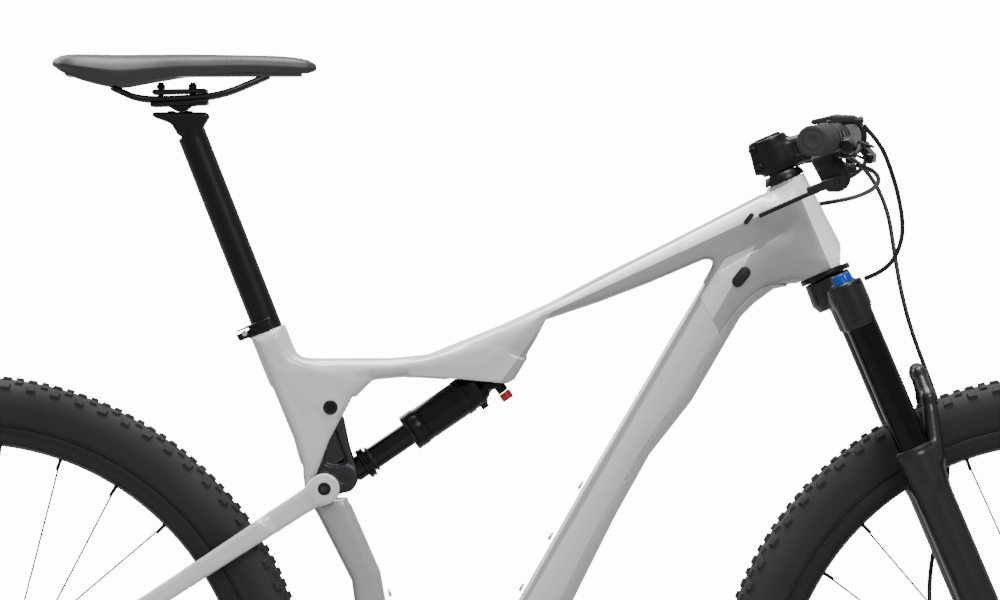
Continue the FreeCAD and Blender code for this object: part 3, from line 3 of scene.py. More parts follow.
import bmesh
import bpy
import numpy as np
from bpy.props import FloatProperty, FloatVectorProperty, IntProperty, PointerProperty
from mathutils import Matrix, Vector


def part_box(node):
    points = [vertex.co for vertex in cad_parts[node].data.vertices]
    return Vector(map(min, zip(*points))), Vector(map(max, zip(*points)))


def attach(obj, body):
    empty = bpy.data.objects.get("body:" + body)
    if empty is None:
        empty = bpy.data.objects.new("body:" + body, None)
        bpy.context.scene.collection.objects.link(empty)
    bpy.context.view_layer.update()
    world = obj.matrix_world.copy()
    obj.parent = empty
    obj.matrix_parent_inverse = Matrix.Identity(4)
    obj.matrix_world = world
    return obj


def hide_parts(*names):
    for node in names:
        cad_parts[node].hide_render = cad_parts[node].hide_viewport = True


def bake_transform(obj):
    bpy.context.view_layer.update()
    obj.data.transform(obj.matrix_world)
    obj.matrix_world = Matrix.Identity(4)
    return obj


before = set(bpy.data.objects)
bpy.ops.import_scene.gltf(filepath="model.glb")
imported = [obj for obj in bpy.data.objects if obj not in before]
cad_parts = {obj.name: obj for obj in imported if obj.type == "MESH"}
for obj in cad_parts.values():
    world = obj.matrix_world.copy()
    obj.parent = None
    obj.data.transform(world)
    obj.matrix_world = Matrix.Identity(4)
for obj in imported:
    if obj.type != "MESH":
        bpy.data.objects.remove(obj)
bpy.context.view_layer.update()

bl_info = {
    "name": "Mountain Bike",
    "version": (1, 0, 0),
    "blender": (4, 5, 0),
    "location": "View3D > Sidebar > Bike",
    "description": "Builds the skin and finish of a full-suspension mountain bike",
    "category": "Add Mesh",
}

MM = 0.001  # shapes below are worked out in millimetres and made in metres

# ---------------------------------------------------------------- places


def vec(*numbers):
    return np.array(numbers, float)


def unit(direction):
    direction = np.asarray(direction, float)
    return direction / np.linalg.norm(direction)


ACROSS = vec(0, 1, 0)
AHEAD = vec(1, 0, 0)
UP = vec(0, 0, 1)
STEER_UP = vec(-math.cos(math.radians(67)), 0, math.sin(math.radians(67)))
STEER_AHEAD = vec(math.sin(math.radians(67)), 0, math.cos(math.radians(67)))
HEAD_FOOT = vec(332, 0, 849.5)
POST_UP = vec(-math.cos(math.radians(68.5)), 0, math.sin(math.radians(68.5)))
POST_POINT = vec(-274.5, 0, 819.3)
FRONT_AXLE = vec(582, 0, 370)
REAR_AXLE = vec(-582, 0, 370)
CRANK = vec(-145, 0, 330)
MAIN_PIVOT = vec(-148, 0, 399)
LINK_PIVOT = vec(-195.3, 0, 704.8)
STAY_PIVOT = vec(-201.7, 0, 618.2)
SHOCK_REAR = vec(-181.4, 0, 628.9)
SHOCK_FRONT = vec(-25.2, 0, 735.8)
SHOCK_ALONG = unit(SHOCK_FRONT - SHOCK_REAR)
SHOCK_DOWN = vec(SHOCK_ALONG[2], 0, -SHOCK_ALONG[0])
GUIDE = vec(-560, 0, 236)
TENSION = vec(-528, 0, 160)
BAR = vec(354.4, 0, 993.6)
BAR_END = vec(305.4, 0, 982.3)
BAR_HALF = 370
LEVER_AHEAD = unit(vec(0.94, 0, -0.34))
CHAIN_LINE = -53.4
PITCH = 12.7
# the (x, z) line below which the top tube's sides lean inwards; the white band ends on it
CREASE = [(113.8, 840.3), (251.3, 904.2)]
COG_TEETH = (10, 12, 14, 16, 18, 21, 24, 28, 33, 39, 45, 51)


def steering(up, ahead=0, across=0):
    """A point along the steering axis, ahead of it and across."""
    return HEAD_FOOT + STEER_UP * up + STEER_AHEAD * ahead + ACROSS * across


def seat_line(up, ahead=0, across=0):
    """A point on the seatpost's axis, ahead of it and across."""
    return POST_POINT + POST_UP * up - quarter(POST_UP) * ahead + ACROSS * across


def shock_line(along, down=0, across=0):
    """A point along the shock from its rear eye."""
    return SHOCK_REAR + SHOCK_ALONG * along + SHOCK_DOWN * down + ACROSS * across


def bar_point(distance, side):
    """A point on the swept-back handlebar at a distance from its middle."""
    share = max(0.0, (distance - 45) / (BAR_HALF - 45))
    return BAR + (BAR_END - BAR) * share + ACROSS * side * distance


def bar_direction(side):
    return unit(bar_point(300, side) - bar_point(100, side))


def ray(angle, radius=1.0):
    """A point of the side plane at an angle and a distance from the origin."""
    return vec(radius * math.cos(angle), 0, radius * math.sin(angle))


def polar(radius, angle):
    return radius * math.cos(angle), radius * math.sin(angle)


def quarter(direction):
    """A direction of the side plane turned a quarter, from ahead to up."""
    return vec(-direction[2], 0, direction[0])


def pitch_radius(teeth):
    return PITCH / 2 / math.sin(math.pi / teeth)


# ---------------------------------------------------------------- solid fields, negative inside


def smooth_min(first, second, blend):
    share = np.clip(0.5 + 0.5 * (second - first) / blend, 0, 1)
    return second + (first - second) * share - blend * share * (1 - share)


def smooth_max(first, second, blend):
    return -smooth_min(-first, -second, blend)


def joined_fields(blend, *fields):
    total = fields[0]
    for field in fields[1:]:
        total = smooth_min(total, field, blend)
    return total


def carved(field, blend, *tools):
    for tool in tools:
        field = smooth_max(field, -tool, blend)
    return field


def eased(points, size, closed=True, steps=3):
    """The same corners, each rounded by a short arc of about the given size."""
    points = [np.asarray(point, float) for point in points]
    result = []
    for n, corner in enumerate(points):
        if not closed and n in (0, len(points) - 1):
            result.append(corner)
            continue
        before, after = points[n - 1], points[(n + 1) % len(points)]
        back, forth = before - corner, after - corner
        near = corner + back / np.linalg.norm(back) * min(size, 0.45 * np.linalg.norm(back))
        far = corner + forth / np.linalg.norm(forth) * min(size, 0.45 * np.linalg.norm(forth))
        for step in range(steps):
            t = step / (steps - 1)
            result.append(near * (1 - t) ** 2 + corner * 2 * t * (1 - t) + far * t * t)
    return result


def outline_distance(x, z, outline):
    """Signed distance in the side plane to a closed outline of (x, z) corners."""
    nearest = None
    inside = None
    count = len(outline)
    for n in range(count):
        ax, az = (float(value) for value in outline[n])
        bx, bz = (float(value) for value in outline[(n + 1) % count])
        ex, ez = bx - ax, bz - az
        share = np.clip(((x - ax) * ex + (z - az) * ez) / (ex * ex + ez * ez + 1e-9), 0, 1)
        gap = (x - ax - ex * share) ** 2 + (z - az - ez * share) ** 2
        nearest = gap if nearest is None else np.minimum(nearest, gap)
        crossing = ((az > z) != (bz > z)) & (x < ex * (z - az) / (ez if abs(ez) > 1e-9 else 1e-9) + ax)
        inside = crossing if inside is None else inside ^ crossing
    return np.where(inside, -1.0, 1.0) * np.sqrt(nearest)


def rounded(plane, across, radius):
    """Two half-space distances joined by a rounded edge."""
    first, second = plane + radius, across + radius
    return (np.minimum(np.maximum(first, second), 0)
            + np.hypot(np.maximum(first, 0), np.maximum(second, 0)) - radius)


def plate(p, outline, low, high, radius):
    """An outline of the side plane given thickness from y low to y high."""
    return rounded(outline_distance(p[0], p[2], outline), np.abs(p[1] - (low + high) / 2) - (high - low) / 2,
                   radius)


def along_axis(p, origin, direction):
    direction = unit(direction)
    return sum((p[n] - origin[n]) * direction[n] for n in range(3))


def from_axis(p, origin, direction):
    along = along_axis(p, origin, direction)
    gap = sum((p[n] - origin[n]) ** 2 for n in range(3)) - along ** 2
    return along, np.sqrt(np.maximum(gap, 0))


def barrel(p, origin, direction, low, high, radius, edge=1.0):
    along, out = from_axis(p, origin, direction)
    return rounded(out - radius, np.abs(along - (low + high) / 2) - (high - low) / 2, edge)


def turned_field(p, origin, direction, stations, edge=1.0):
    """A turned solid whose radius changes along its axis, stations being (along, radius)."""
    along, out = from_axis(p, origin, direction)
    places, radii = zip(*stations)
    return rounded(out - np.interp(along, places, radii),
                   np.abs(along - (places[0] + places[-1]) / 2) - (places[-1] - places[0]) / 2, edge)


def rod(p, start, end, first, last):
    """A round-ended rod that tapers from one radius to another."""
    run = np.asarray(end) - np.asarray(start)
    share = np.clip(sum((p[n] - start[n]) * run[n] for n in range(3)) / float(run @ run), 0, 1)
    gap = sum((p[n] - start[n] - run[n] * share) ** 2 for n in range(3))
    return np.sqrt(gap) - (first + (last - first) * share)


def box(p, centre, along, up, size, edge):
    """A rounded box: size is along, across and up."""
    along, up = unit(along), unit(up)
    side = np.cross(up, along)
    gaps = [np.abs(along_axis(p, centre, axis)) - length / 2 + edge
            for axis, length in zip((along, side, up), size)]
    outer = np.sqrt(sum(np.maximum(gap, 0) ** 2 for gap in gaps))
    return outer + np.minimum(np.maximum(np.maximum(gaps[0], gaps[1]), gaps[2]), 0) - edge


def ribbon(p, origin, along, up, stations, edge):
    """A bar through stations of (along, up, half height, across, half thickness)."""
    across = unit(np.cross(up, along))
    a, b, c = (along_axis(p, origin, axis) for axis in (along, up, across))
    total = None
    for near, far in zip(stations, stations[1:]):
        near, far = np.array(near, float), np.array(far, float)
        run = far - near
        share = np.clip(((a - near[0]) * run[0] + (b - near[1]) * run[1]) / (run[0] ** 2 + run[1] ** 2), 0, 1)
        side = np.hypot(a - near[0] - run[0] * share, b - near[1] - run[1] * share) - near[2] - run[2] * share
        thick = np.abs(c - near[3] - run[3] * share) - near[4] - run[4] * share
        piece = rounded(side, thick, edge)
        total = piece if total is None else smooth_min(total, piece, 1.5)
    return total


# ---------------------------------------------------------------- meshes


def net(field, low, high, step):
    """The surface of a solid field, as corners and four-sided faces (a surface net)."""
    axes = [np.arange(a - 1.5 * step, b + 2.5 * step, step) for a, b in zip(low, high)]
    shape = tuple(len(axis) for axis in axes)
    values = np.broadcast_to(field((axes[0][:, None, None], axes[1][None, :, None], axes[2][None, None, :])),
                             shape)
    inside = values < 0
    corners = [(a, b, c) for a in (0, 1) for b in (0, 1) for c in (0, 1)]
    filled = sum(inside[a:shape[0] - 1 + a, b:shape[1] - 1 + b, c:shape[2] - 1 + c].astype(np.int8)
                 for a, b, c in corners)
    active = (filled > 0) & (filled < 8)
    cells = np.argwhere(active)
    number = np.full(active.shape, -1, np.int64)
    number[active] = np.arange(len(cells))
    at_corner = [values[cells[:, 0] + a, cells[:, 1] + b, cells[:, 2] + c] for a, b, c in corners]
    total = np.zeros((len(cells), 3))
    count = np.zeros(len(cells))
    for i, first in enumerate(corners):
        for j, second in enumerate(corners):
            if j <= i or sum(abs(a - b) for a, b in zip(first, second)) != 1:
                continue
            crossing = (at_corner[i] < 0) != (at_corner[j] < 0)
            share = at_corner[i][crossing] / (at_corner[i][crossing] - at_corner[j][crossing])
            run = np.array(second) - np.array(first)
            total[crossing] += np.array(first) + run * share[:, None]
            count[crossing] += 1
    verts = (cells + total / count[:, None]) * step + np.array([axis[0] for axis in axes])
    faces = []
    for axis in range(3):
        second, third = (axis + 1) % 3, (axis + 2) % 3
        window = [slice(None)] * 3
        window[second] = window[third] = slice(1, -1)
        lower, upper = list(window), list(window)
        lower[axis], upper[axis] = slice(None, -1), slice(1, None)
        below = inside[tuple(lower)]
        edges = np.argwhere(below != inside[tuple(upper)])
        solid_below = below[tuple(edges.T)]
        around = []
        for step_b, step_c in ((0, 0), (1, 0), (1, 1), (0, 1)):
            cell = edges.copy()
            cell[:, second] += step_b
            cell[:, third] += step_c
            around.append(number[tuple(cell.T)])
        quads = np.stack(around, 1)
        faces.append(np.where(solid_below[:, None], quads, quads[:, ::-1]))
    return settled(verts, field, step), np.concatenate(faces)


def settled(verts, field, step):
    """Corners moved onto the field's surface."""
    nudge = 0.2
    for _ in range(2):
        value = field(tuple(verts.T))
        slope = np.stack([(field(tuple((verts + nudge * axis).T)) - field(tuple((verts - nudge * axis).T)))
                          / (2 * nudge) for axis in np.eye(3)], 1)
        size = np.maximum((slope ** 2).sum(1), 0.25)
        move = -slope * (value / size)[:, None]
        verts = verts + np.clip(move, -0.4 * step, 0.4 * step)
    return verts


def framed(direction):
    """Two directions square to an axis."""
    direction = unit(direction)
    helper = ACROSS if abs(direction[1]) < 0.9 else AHEAD
    first = unit(np.cross(helper, direction))
    return first, np.cross(direction, first)


def woven(rows, count, closed=False, capped=True):
    """Faces between rows of corners, each row being a loop of the same count."""
    faces = []
    for row in range(rows if closed else rows - 1):
        here, after = row * count, (row + 1) % rows * count
        for n in range(count):
            m = (n + 1) % count
            faces.append((here + n, here + m, after + m, after + n))
    if capped:
        faces += [tuple(reversed(range(count))), tuple(range((rows - 1) * count, rows * count))]
    return faces


def turned(profile, origin, direction, segments=64, closed=True):
    """A turned mesh from (along, radius) corners."""
    first, second = framed(direction)
    direction = unit(direction)
    angles = np.arange(segments) * 2 * math.pi / segments
    spin = np.cos(angles)[:, None] * first + np.sin(angles)[:, None] * second
    verts = np.concatenate([origin + direction * along + spin * radius for along, radius in profile])
    return verts, woven(len(profile), segments, closed, False)


def fluted(profile, origin, direction, pitch, width, low, high):
    """A turned knob with flutes cut in its rim between two levels."""
    verts, faces = turned(profile, origin, direction, 72, False)
    level = (verts - origin) @ direction
    radial = verts - origin - level[:, None] * direction
    flute = np.where((np.arange(len(verts)) % 72 % pitch < width) & (level > low) & (level < high), 0.9, 1.0)
    return origin + level[:, None] * direction + radial * flute[:, None], faces


def swept(points, radii, sides=20):
    """A round tube along points, closed at both ends."""
    points = [np.asarray(point, float) for point in points]
    verts = []
    for n, (point, radius) in enumerate(zip(points, radii)):
        first, second = framed(points[min(n + 1, len(points) - 1)] - points[max(n - 1, 0)])
        for k in range(sides):
            a, b = polar(radius, 2 * math.pi * k / sides)
            verts.append(point + first * a + second * b)
    return np.array(verts), woven(len(points), sides)


def prism(outline, low, high, origin=(0, 0, 0), along=AHEAD, up=UP, chamfer=0.0):
    """A flat piece of convex outline with chamfered rims."""
    along, up = unit(along), unit(up)
    across = np.cross(up, along)
    middle = np.mean(np.array(outline, float), 0)
    layers = [(low, 1 - chamfer), (low + (high - low) * 0.15, 1), (high - (high - low) * 0.15, 1),
              (high, 1 - chamfer)] if chamfer else [(low, 1), (high, 1)]
    verts = []
    for level, scale in layers:
        for point in outline:
            a, b = middle + (np.array(point, float) - middle) * scale
            verts.append(np.array(origin) + along * a + up * b + across * level)
    return np.array(verts), woven(len(layers), len(outline))


def mesh_of(curve):
    """The mesh that a curve makes; the curve itself is removed."""
    holder = bpy.data.objects.new(curve.name, curve)
    bpy.context.scene.collection.objects.link(holder)
    mesh = bpy.data.meshes.new_from_object(holder.evaluated_get(bpy.context.evaluated_depsgraph_get()))
    bpy.data.objects.remove(holder)
    bpy.data.curves.remove(curve)
    return mesh


def pressed(loops, half, edge, origin, along=AHEAD, up=UP):
    """A flat pressed plate with holes: loops of (along, up) points, the first being the rim."""
    curve = bpy.data.curves.new("Plate", "CURVE")
    curve.dimensions = "2D"
    curve.fill_mode = "BOTH"
    curve.extrude = half - edge
    curve.bevel_depth = edge
    curve.bevel_resolution = 1
    for loop in loops:
        spline = curve.splines.new("POLY")
        spline.points.add(len(loop) - 1)
        spline.points.foreach_set("co", np.array([(a, b, 0, 1) for a, b in loop], float).ravel())
        spline.use_cyclic_u = True
    mesh = mesh_of(curve)
    flat = np.array([corner.co[:] for corner in mesh.vertices])
    faces = [tuple(face.vertices) for face in mesh.polygons]
    bpy.data.meshes.remove(mesh)
    along, up = unit(along), unit(up)
    across = np.cross(up, along)
    verts = np.asarray(origin) + flat[:, :1] * along + flat[:, 1:2] * up + flat[:, 2:3] * across
    return verts, faces


def circle(radius, count=24, centre=(0, 0)):
    places = (polar(radius, 2 * math.pi * n / count) for n in range(count))
    return [(centre[0] + a, centre[1] + b) for a, b in places]


def bolt(foot, direction, radius, height, socket=True):
    """A domed screw head with a six-sided socket."""
    direction = unit(direction)
    first, second = framed(direction)
    sides = 24
    rings = [(0.0, 1.0), (0.72, 1.0), (0.93, 0.93), (1.0, 0.8)]
    if socket:
        rings += [(1.0, -0.56), (0.35, -0.52)]
    verts = []
    for level, share in rings:
        for n in range(sides):
            angle = 2 * math.pi * n / sides
            reach = abs(share) * radius
            if share < 0:
                reach /= math.cos((angle + math.pi / 6) % (math.pi / 3) - math.pi / 6) / math.cos(math.pi / 6)
            verts.append(foot + direction * height * level
                         + reach * (first * math.cos(angle) + second * math.sin(angle)))
    return np.array(verts), woven(len(rings), sides)


def pin(half, radius, origin, direction=ACROSS, segments=64):
    """A plain pin through a point, reaching the same way on both sides."""
    outline = [(-half, 0), (-half, radius), (half, radius), (half, 0)]
    return turned(outline, origin, direction, segments, False)


def merged(parts):
    """Several meshes as one."""
    verts, faces = [], []
    start = 0
    for corners, sides in parts:
        verts.append(np.asarray(corners))
        faces += [tuple(int(n) + start for n in side) for side in sides]
        start += len(corners)
    return np.concatenate(verts), faces


def piece(name, parts, body, finish, slot, stands_for=(), sharp=35, clean=False):
    """Make one mesh of the parts, give it its finish and let it move with its body."""
    verts, faces = merged(parts)
    mesh = bpy.data.meshes.new(name)
    mesh.from_pydata((verts * MM).tolist(), [], faces)
    if clean:
        shape = bmesh.new()
        shape.from_mesh(mesh)
        bmesh.ops.remove_doubles(shape, verts=shape.verts, dist=1e-6)
        bmesh.ops.recalc_face_normals(shape, faces=shape.faces)
        shape.to_mesh(mesh)
        shape.free()
    mesh.shade_smooth()
    if sharp < 180:
        mesh.set_sharp_from_angle(angle=math.radians(sharp))
    thing = bpy.data.objects.new(name, mesh)
    bpy.context.scene.collection.objects.link(thing)
    mesh.materials.append(material(finish))
    if body:
        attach(thing, body)
    for node in stands_for:
        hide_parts(node)
    return thing


def moulded(name, field, low, high, step, body, finish, slot, stands_for=(), extra=()):
    """A piece whose shape is a solid field, with extra meshes beside it."""
    return piece(name, [net(field, low, high, step)] + list(extra), body, finish, slot, stands_for, sharp=50)


# ---------------------------------------------------------------- finishes


def node(tree, kind, inputs=None, **settings):
    """Add a shader node; an input may be a value or another node's socket."""
    made = tree.nodes.new(kind)
    for name, value in settings.items():
        setattr(made, name, value)
    for key, value in (inputs or {}).items():
        if isinstance(value, bpy.types.NodeSocket):
            tree.links.new(value, made.inputs[key])
        else:
            made.inputs[key].default_value = value
    return made


def effect(name, inputs, outputs):
    """A new shader node group, its group input node and its group output node."""
    tree = bpy.data.node_groups.new(name, "ShaderNodeTree")
    for label, kind, value in inputs:
        socket = tree.interface.new_socket(name=label, in_out="INPUT", socket_type="NodeSocket" + kind)
        if value is not None:
            socket.default_value = value
    for label, kind in outputs:
        tree.interface.new_socket(name=label, in_out="OUTPUT", socket_type="NodeSocket" + kind)
    return tree, tree.nodes.new("NodeGroupInput").outputs, tree.nodes.new("NodeGroupOutput").inputs


def summed(tree, operation, first, second):
    """One of the arithmetic nodes, and its result."""
    return node(tree, "ShaderNodeMath", {0: first, 1: second}, operation=operation).outputs[0]


def ranged(tree, value, low, high, to_low=0.0, to_high=1.0):
    """A value moved from one range to another and held within it."""
    return node(tree, "ShaderNodeMapRange", {0: value, 1: low, 2: high, 3: to_low, 4: to_high}).outputs[0]


def noise(tree, vector, scale, detail):
    return node(tree, "ShaderNodeTexNoise", {"Vector": vector, "Scale": scale, "Detail": detail}).outputs[0]


def mixed(tree, base, colour, mask):
    return node(tree, "ShaderNodeMix", {"Factor": mask, 6: base, 7: colour}, data_type="RGBA").outputs[2]


def build_grain():
    """Fine mottling of a surface: a roughness that varies and a height for a bump."""
    tree, given, out = effect("Surface Grain", [
        ("Vector", "Vector", None), ("Scale", "Float", 400.0), ("Rough Low", "Float", 0.3),
        ("Rough High", "Float", 0.45)], [("Roughness", "Float"), ("Height", "Float")])
    fine = noise(tree, given["Vector"], given["Scale"], 4.0)
    both = summed(tree, "MULTIPLY", fine, noise(tree, given["Vector"], 14.0, 3.0))
    tree.links.new(ranged(tree, both, 0.12, 0.4, given["Rough Low"], given["Rough High"]), out["Roughness"])
    tree.links.new(fine, out["Height"])
    return tree


def build_drift():
    """A colour that drifts a little over the surface, as paint and rubber do."""
    tree, given, out = effect("Colour Drift", [
        ("Vector", "Vector", None), ("Color", "Color", (0.5, 0.5, 0.5, 1)), ("Amount", "Float", 0.06),
        ("Scale", "Float", 9.0)], [("Color", "Color")])
    low, high = (summed(tree, operation, 1.0, given["Amount"]) for operation in ("SUBTRACT", "ADD"))
    level = ranged(tree, noise(tree, given["Vector"], given["Scale"], 3.0), 0.3, 0.7, low, high)
    shade = node(tree, "ShaderNodeVectorMath", {0: given["Color"], "Scale": level}, operation="SCALE")
    tree.links.new(shade.outputs[0], out["Color"])
    return tree


def build_band():
    """A painted band: one where a position along a direction lies between two limits."""
    tree, given, out = effect("Painted Band", [
        ("Vector", "Vector", None), ("Direction", "Vector", (0, 0, 1)), ("Low", "Float", 0.0),
        ("High", "Float", 1.0), ("Softness", "Float", 0.0006)], [("Mask", "Float")])
    place = node(tree, "ShaderNodeVectorMath", {0: given["Vector"], 1: given["Direction"]},
                 operation="DOT_PRODUCT").outputs["Value"]
    low, high = (summed(tree, "ADD", given[limit], given["Softness"]) for limit in ("Low", "High"))
    rise = ranged(tree, place, given["Low"], low)
    fall = ranged(tree, place, given["High"], high, 1.0, 0.0)
    tree.links.new(summed(tree, "MULTIPLY", rise, fall), out["Mask"])
    return tree


def build_scuff():
    """Light wear where edges stand proud, broken up by noise."""
    tree, given, out = effect("Edge Wear", [
        ("Vector", "Vector", None), ("Color", "Color", (0.1, 0.1, 0.1, 1)),
        ("Worn", "Color", (0.3, 0.3, 0.3, 1)), ("Amount", "Float", 0.5)], [("Color", "Color")])
    proud = ranged(tree, node(tree, "ShaderNodeNewGeometry").outputs["Pointiness"], 0.53, 0.6)
    share = ranged(tree, noise(tree, given["Vector"], 90.0, 5.0), 0.45, 0.62, 0.0, given["Amount"])
    worn = summed(tree, "MULTIPLY", proud, share)
    tree.links.new(mixed(tree, given["Color"], given["Worn"], worn), out["Color"])
    return tree


GROUP_BUILDERS = {"Surface Grain": build_grain, "Colour Drift": build_drift, "Painted Band": build_band,
                  "Edge Wear": build_scuff}


def group(tree, name, inputs):
    """Place one of the shared effects in a material, and give its outputs."""
    shared = bpy.data.node_groups.get(name) or GROUP_BUILDERS[name]()
    return node(tree, "ShaderNodeGroup", inputs, node_tree=shared).outputs


def drifting(tree, place, colour, amount, scale=9.0):
    return group(tree, "Colour Drift", {"Vector": place, "Color": (*colour, 1), "Amount": amount,
                                        "Scale": scale})["Color"]


def grained(tree, place, scale, low, high):
    return group(tree, "Surface Grain", {"Vector": place, "Scale": float(scale), "Rough Low": low,
                                         "Rough High": high})


def blank_finish(name):
    """An empty material, its tree and its object coordinates."""
    made = bpy.data.materials.new(name)
    made.use_nodes = True
    return made, made.node_tree, node(made.node_tree, "ShaderNodeTexCoord").outputs["Object"]


def dressed(made, tint, roughness, height, strength, distance=0.0002, **constants):
    """Feed the material's shader; the constants are its plain sockets."""
    tree = made.node_tree
    shader = tree.nodes["Principled BSDF"]
    tree.links.new(tint, shader.inputs["Base Color"])
    tree.links.new(roughness, shader.inputs["Roughness"])
    for label, value in constants.items():
        shader.inputs[label.replace("_", " ")].default_value = value
    bump = node(tree, "ShaderNodeBump", {"Height": height, "Strength": strength, "Distance": distance})
    tree.links.new(bump.outputs[0], shader.inputs["Normal"])
    return made


# name: colour, roughness low and high, metallic, coat, grain scale, bump, worn edge colour or none
PLAIN_FINISHES = {
    "Black Alloy": ((0.006, 0.006, 0.0065), 0.30, 0.42, 0.55, 0.15, 900, 0.05, (0.10, 0.10, 0.105)),
    "Saddle Base": ((0.05, 0.049, 0.048), 0.20, 0.30, 0.0, 0.3, 500, 0.02, None),
    "Fork Top Paint": ((0.006, 0.006, 0.0066), 0.24, 0.34, 0.0, 0.15, 500, 0.02, None),
    "Lower Leg Paint": ((0.008, 0.008, 0.009), 0.28, 0.40, 0.0, 0.15, 420, 0.03, None),
    "Link Anodising": ((0.036, 0.037, 0.040), 0.33, 0.46, 0.85, 0.0, 1200, 0.05, (0.22, 0.22, 0.23)),
    "Machined Steel": ((0.47, 0.46, 0.44), 0.22, 0.36, 1.0, 0.0, 800, 0.04, None),
    "Polished Bolt": ((0.58, 0.57, 0.56), 0.16, 0.28, 1.0, 0.0, 700, 0.02, None),
    "Cog Steel": ((0.34, 0.33, 0.32), 0.26, 0.40, 1.0, 0.0, 900, 0.05, (0.6, 0.6, 0.58)),
    "Chain Steel": ((0.20, 0.195, 0.19), 0.25, 0.42, 1.0, 0.0, 900, 0.05, (0.5, 0.5, 0.48)),
    "Smoked Stanchion": ((0.014, 0.013, 0.0125), 0.07, 0.12, 0.9, 0.0, 300, 0.005, None),
    "Shaft Chrome": ((0.022, 0.022, 0.024), 0.10, 0.18, 0.95, 0.0, 300, 0.01, None),
    "Shock Anodising": ((0.0055, 0.0055, 0.006), 0.2, 0.3, 0.5, 0.0, 700, 0.03, (0.08, 0.08, 0.085)),
    "Crimson Anodising": ((0.42, 0.016, 0.030), 0.22, 0.34, 0.6, 0.2, 700, 0.03, None),
    "Blue Anodising": ((0.010, 0.075, 0.42), 0.22, 0.34, 0.6, 0.2, 700, 0.03, None),
    "Grip Rubber": ((0.022, 0.022, 0.023), 0.62, 0.80, 0.0, 0.0, 1300, 0.25, None),
    "Seal Rubber": ((0.008, 0.008, 0.008), 0.45, 0.60, 0.0, 0.0, 900, 0.10, None),
    "Tyre Tread": ((0.020, 0.020, 0.0205), 0.66, 0.86, 0.0, 0.0, 1500, 0.35, (0.045, 0.044, 0.042)),
    "Spoke Black": ((0.007, 0.007, 0.007), 0.24, 0.36, 0.6, 0.0, 600, 0.02, None),
    "Rim Carbon": ((0.008, 0.008, 0.0085), 0.30, 0.42, 0.0, 0.0, 260, 0.04, None),
    "Moulded Plastic": ((0.010, 0.010, 0.011), 0.42, 0.56, 0.0, 0.0, 1400, 0.12, None),
    "Glossy Plastic": ((0.007, 0.007, 0.008), 0.2, 0.3, 0.0, 0.0, 500, 0.02, None),
    "Hose Jacket": ((0.005, 0.005, 0.0055), 0.34, 0.46, 0.0, 0.0, 900, 0.04, None),
}


def plain_finish(name):
    """A finish of one colour with drift, grain and, where it has an edge colour, wear."""
    colour, low, high, metallic, coat, scale, strength, worn = PLAIN_FINISHES[name]
    made, tree, place = blank_finish(name)
    tint = drifting(tree, place, colour, 0.12)
    if worn:
        tint = group(tree, "Edge Wear", {"Vector": place, "Color": tint, "Worn": (*worn, 1)})["Color"]
    grain = grained(tree, place, scale, low, high)
    return dressed(made, tint, grain["Roughness"], grain["Height"], strength, Metallic=metallic,
                   Coat_Weight=coat, Coat_Roughness=0.08, Specular_IOR_Level=0.3)


def line_limits(direction, point):
    return float(unit(direction) @ np.asarray(point, float)) * MM


def banded(tree, place, direction, start, end, softness):
    """A mask between two points, in millimetres, measured along a direction."""
    return group(tree, "Painted Band", {
        "Vector": place, "Direction": tuple(unit(direction)), "Low": line_limits(direction, start),
        "High": line_limits(direction, end), "Softness": softness})["Mask"]


CRISP = 0.0006  # how softly a masked edge fades, in metres
FAR = 3000  # farther than any part of the bike reaches


def side_of(start, end, left=True):
    """A mask of everything on one side of a line in the side plane."""
    start, end = vec(start[0], 0, start[1]), vec(end[0], 0, end[1])
    out = quarter(unit(end - start)) * (1 if left else -1)
    return out, start, start + out * FAR, CRISP


# each painted area is where all its masks meet: (direction, start, end, softness)
TOP_TUBE_SIDE = side_of((92, 730), (213, 859))
DOWN_TUBE_SIDE = side_of((213, 859), (92, 730))
# the down tube's upper edge and the direction across it, which bound a strip of painted shade
SHADE_STRIP_EDGE = vec(6.4, 0, 500.3)
SHADE_STRIP_ACROSS = unit(vec(353.4, 0, -206.6))
BAND_TOP = side_of((113.8, 851.8), (266.1, 930.2), False)
BAND_FOOT = side_of(*CREASE)
PAINTED_AREAS = [
    ("front_grey_and_shade", [side_of((219, 784), (192, 833), False)]),
    ("front_grey_and_shade", [TOP_TUBE_SIDE, side_of((-9, 739), (34, 798), False)]),
    # painted shade: the front grey laid in a strip along the down tube's upper edge, where its facet is
    # shaded
    ("front_grey_and_shade", [DOWN_TUBE_SIDE, (SHADE_STRIP_ACROSS, SHADE_STRIP_EDGE - AHEAD * 8, SHADE_STRIP_EDGE + SHADE_STRIP_ACROSS * 7, 0.0015),
                    (AHEAD, AHEAD * -60, AHEAD * 400, 0.02)]),
    # painted shade: a darker grey on the lower seat tube, below the link
    ("lower_shade_grey", [(UP, UP * 100, UP * 606, 0.004), (AHEAD, AHEAD * -400, AHEAD * -92, 0.004)]),
    ("wedge_grey", [side_of((259.5, 878.8), (220, 861)), side_of((224, 862), (198.9, 822.3)),
                    side_of((198.9, 822.3), (212, 797.8)), side_of((212, 797.8), (259.5, 878.8))]),
    # painted highlight: pale grey fading rearwards along the top tube's band, for the top light on its upper
    # side
    ("pale_highlight", [BAND_TOP, BAND_FOOT, (AHEAD, AHEAD * -10, AHEAD * 172, 0.05)]),
    ("white", [BAND_TOP, BAND_FOOT, (vec(1, 0, -0.35), vec(172, 0, 855), vec(340, 0, 900), CRISP)]),
    ("white", [(STEER_AHEAD, HEAD_FOOT + STEER_AHEAD * 7, HEAD_FOOT + STEER_AHEAD * 60, CRISP)])]


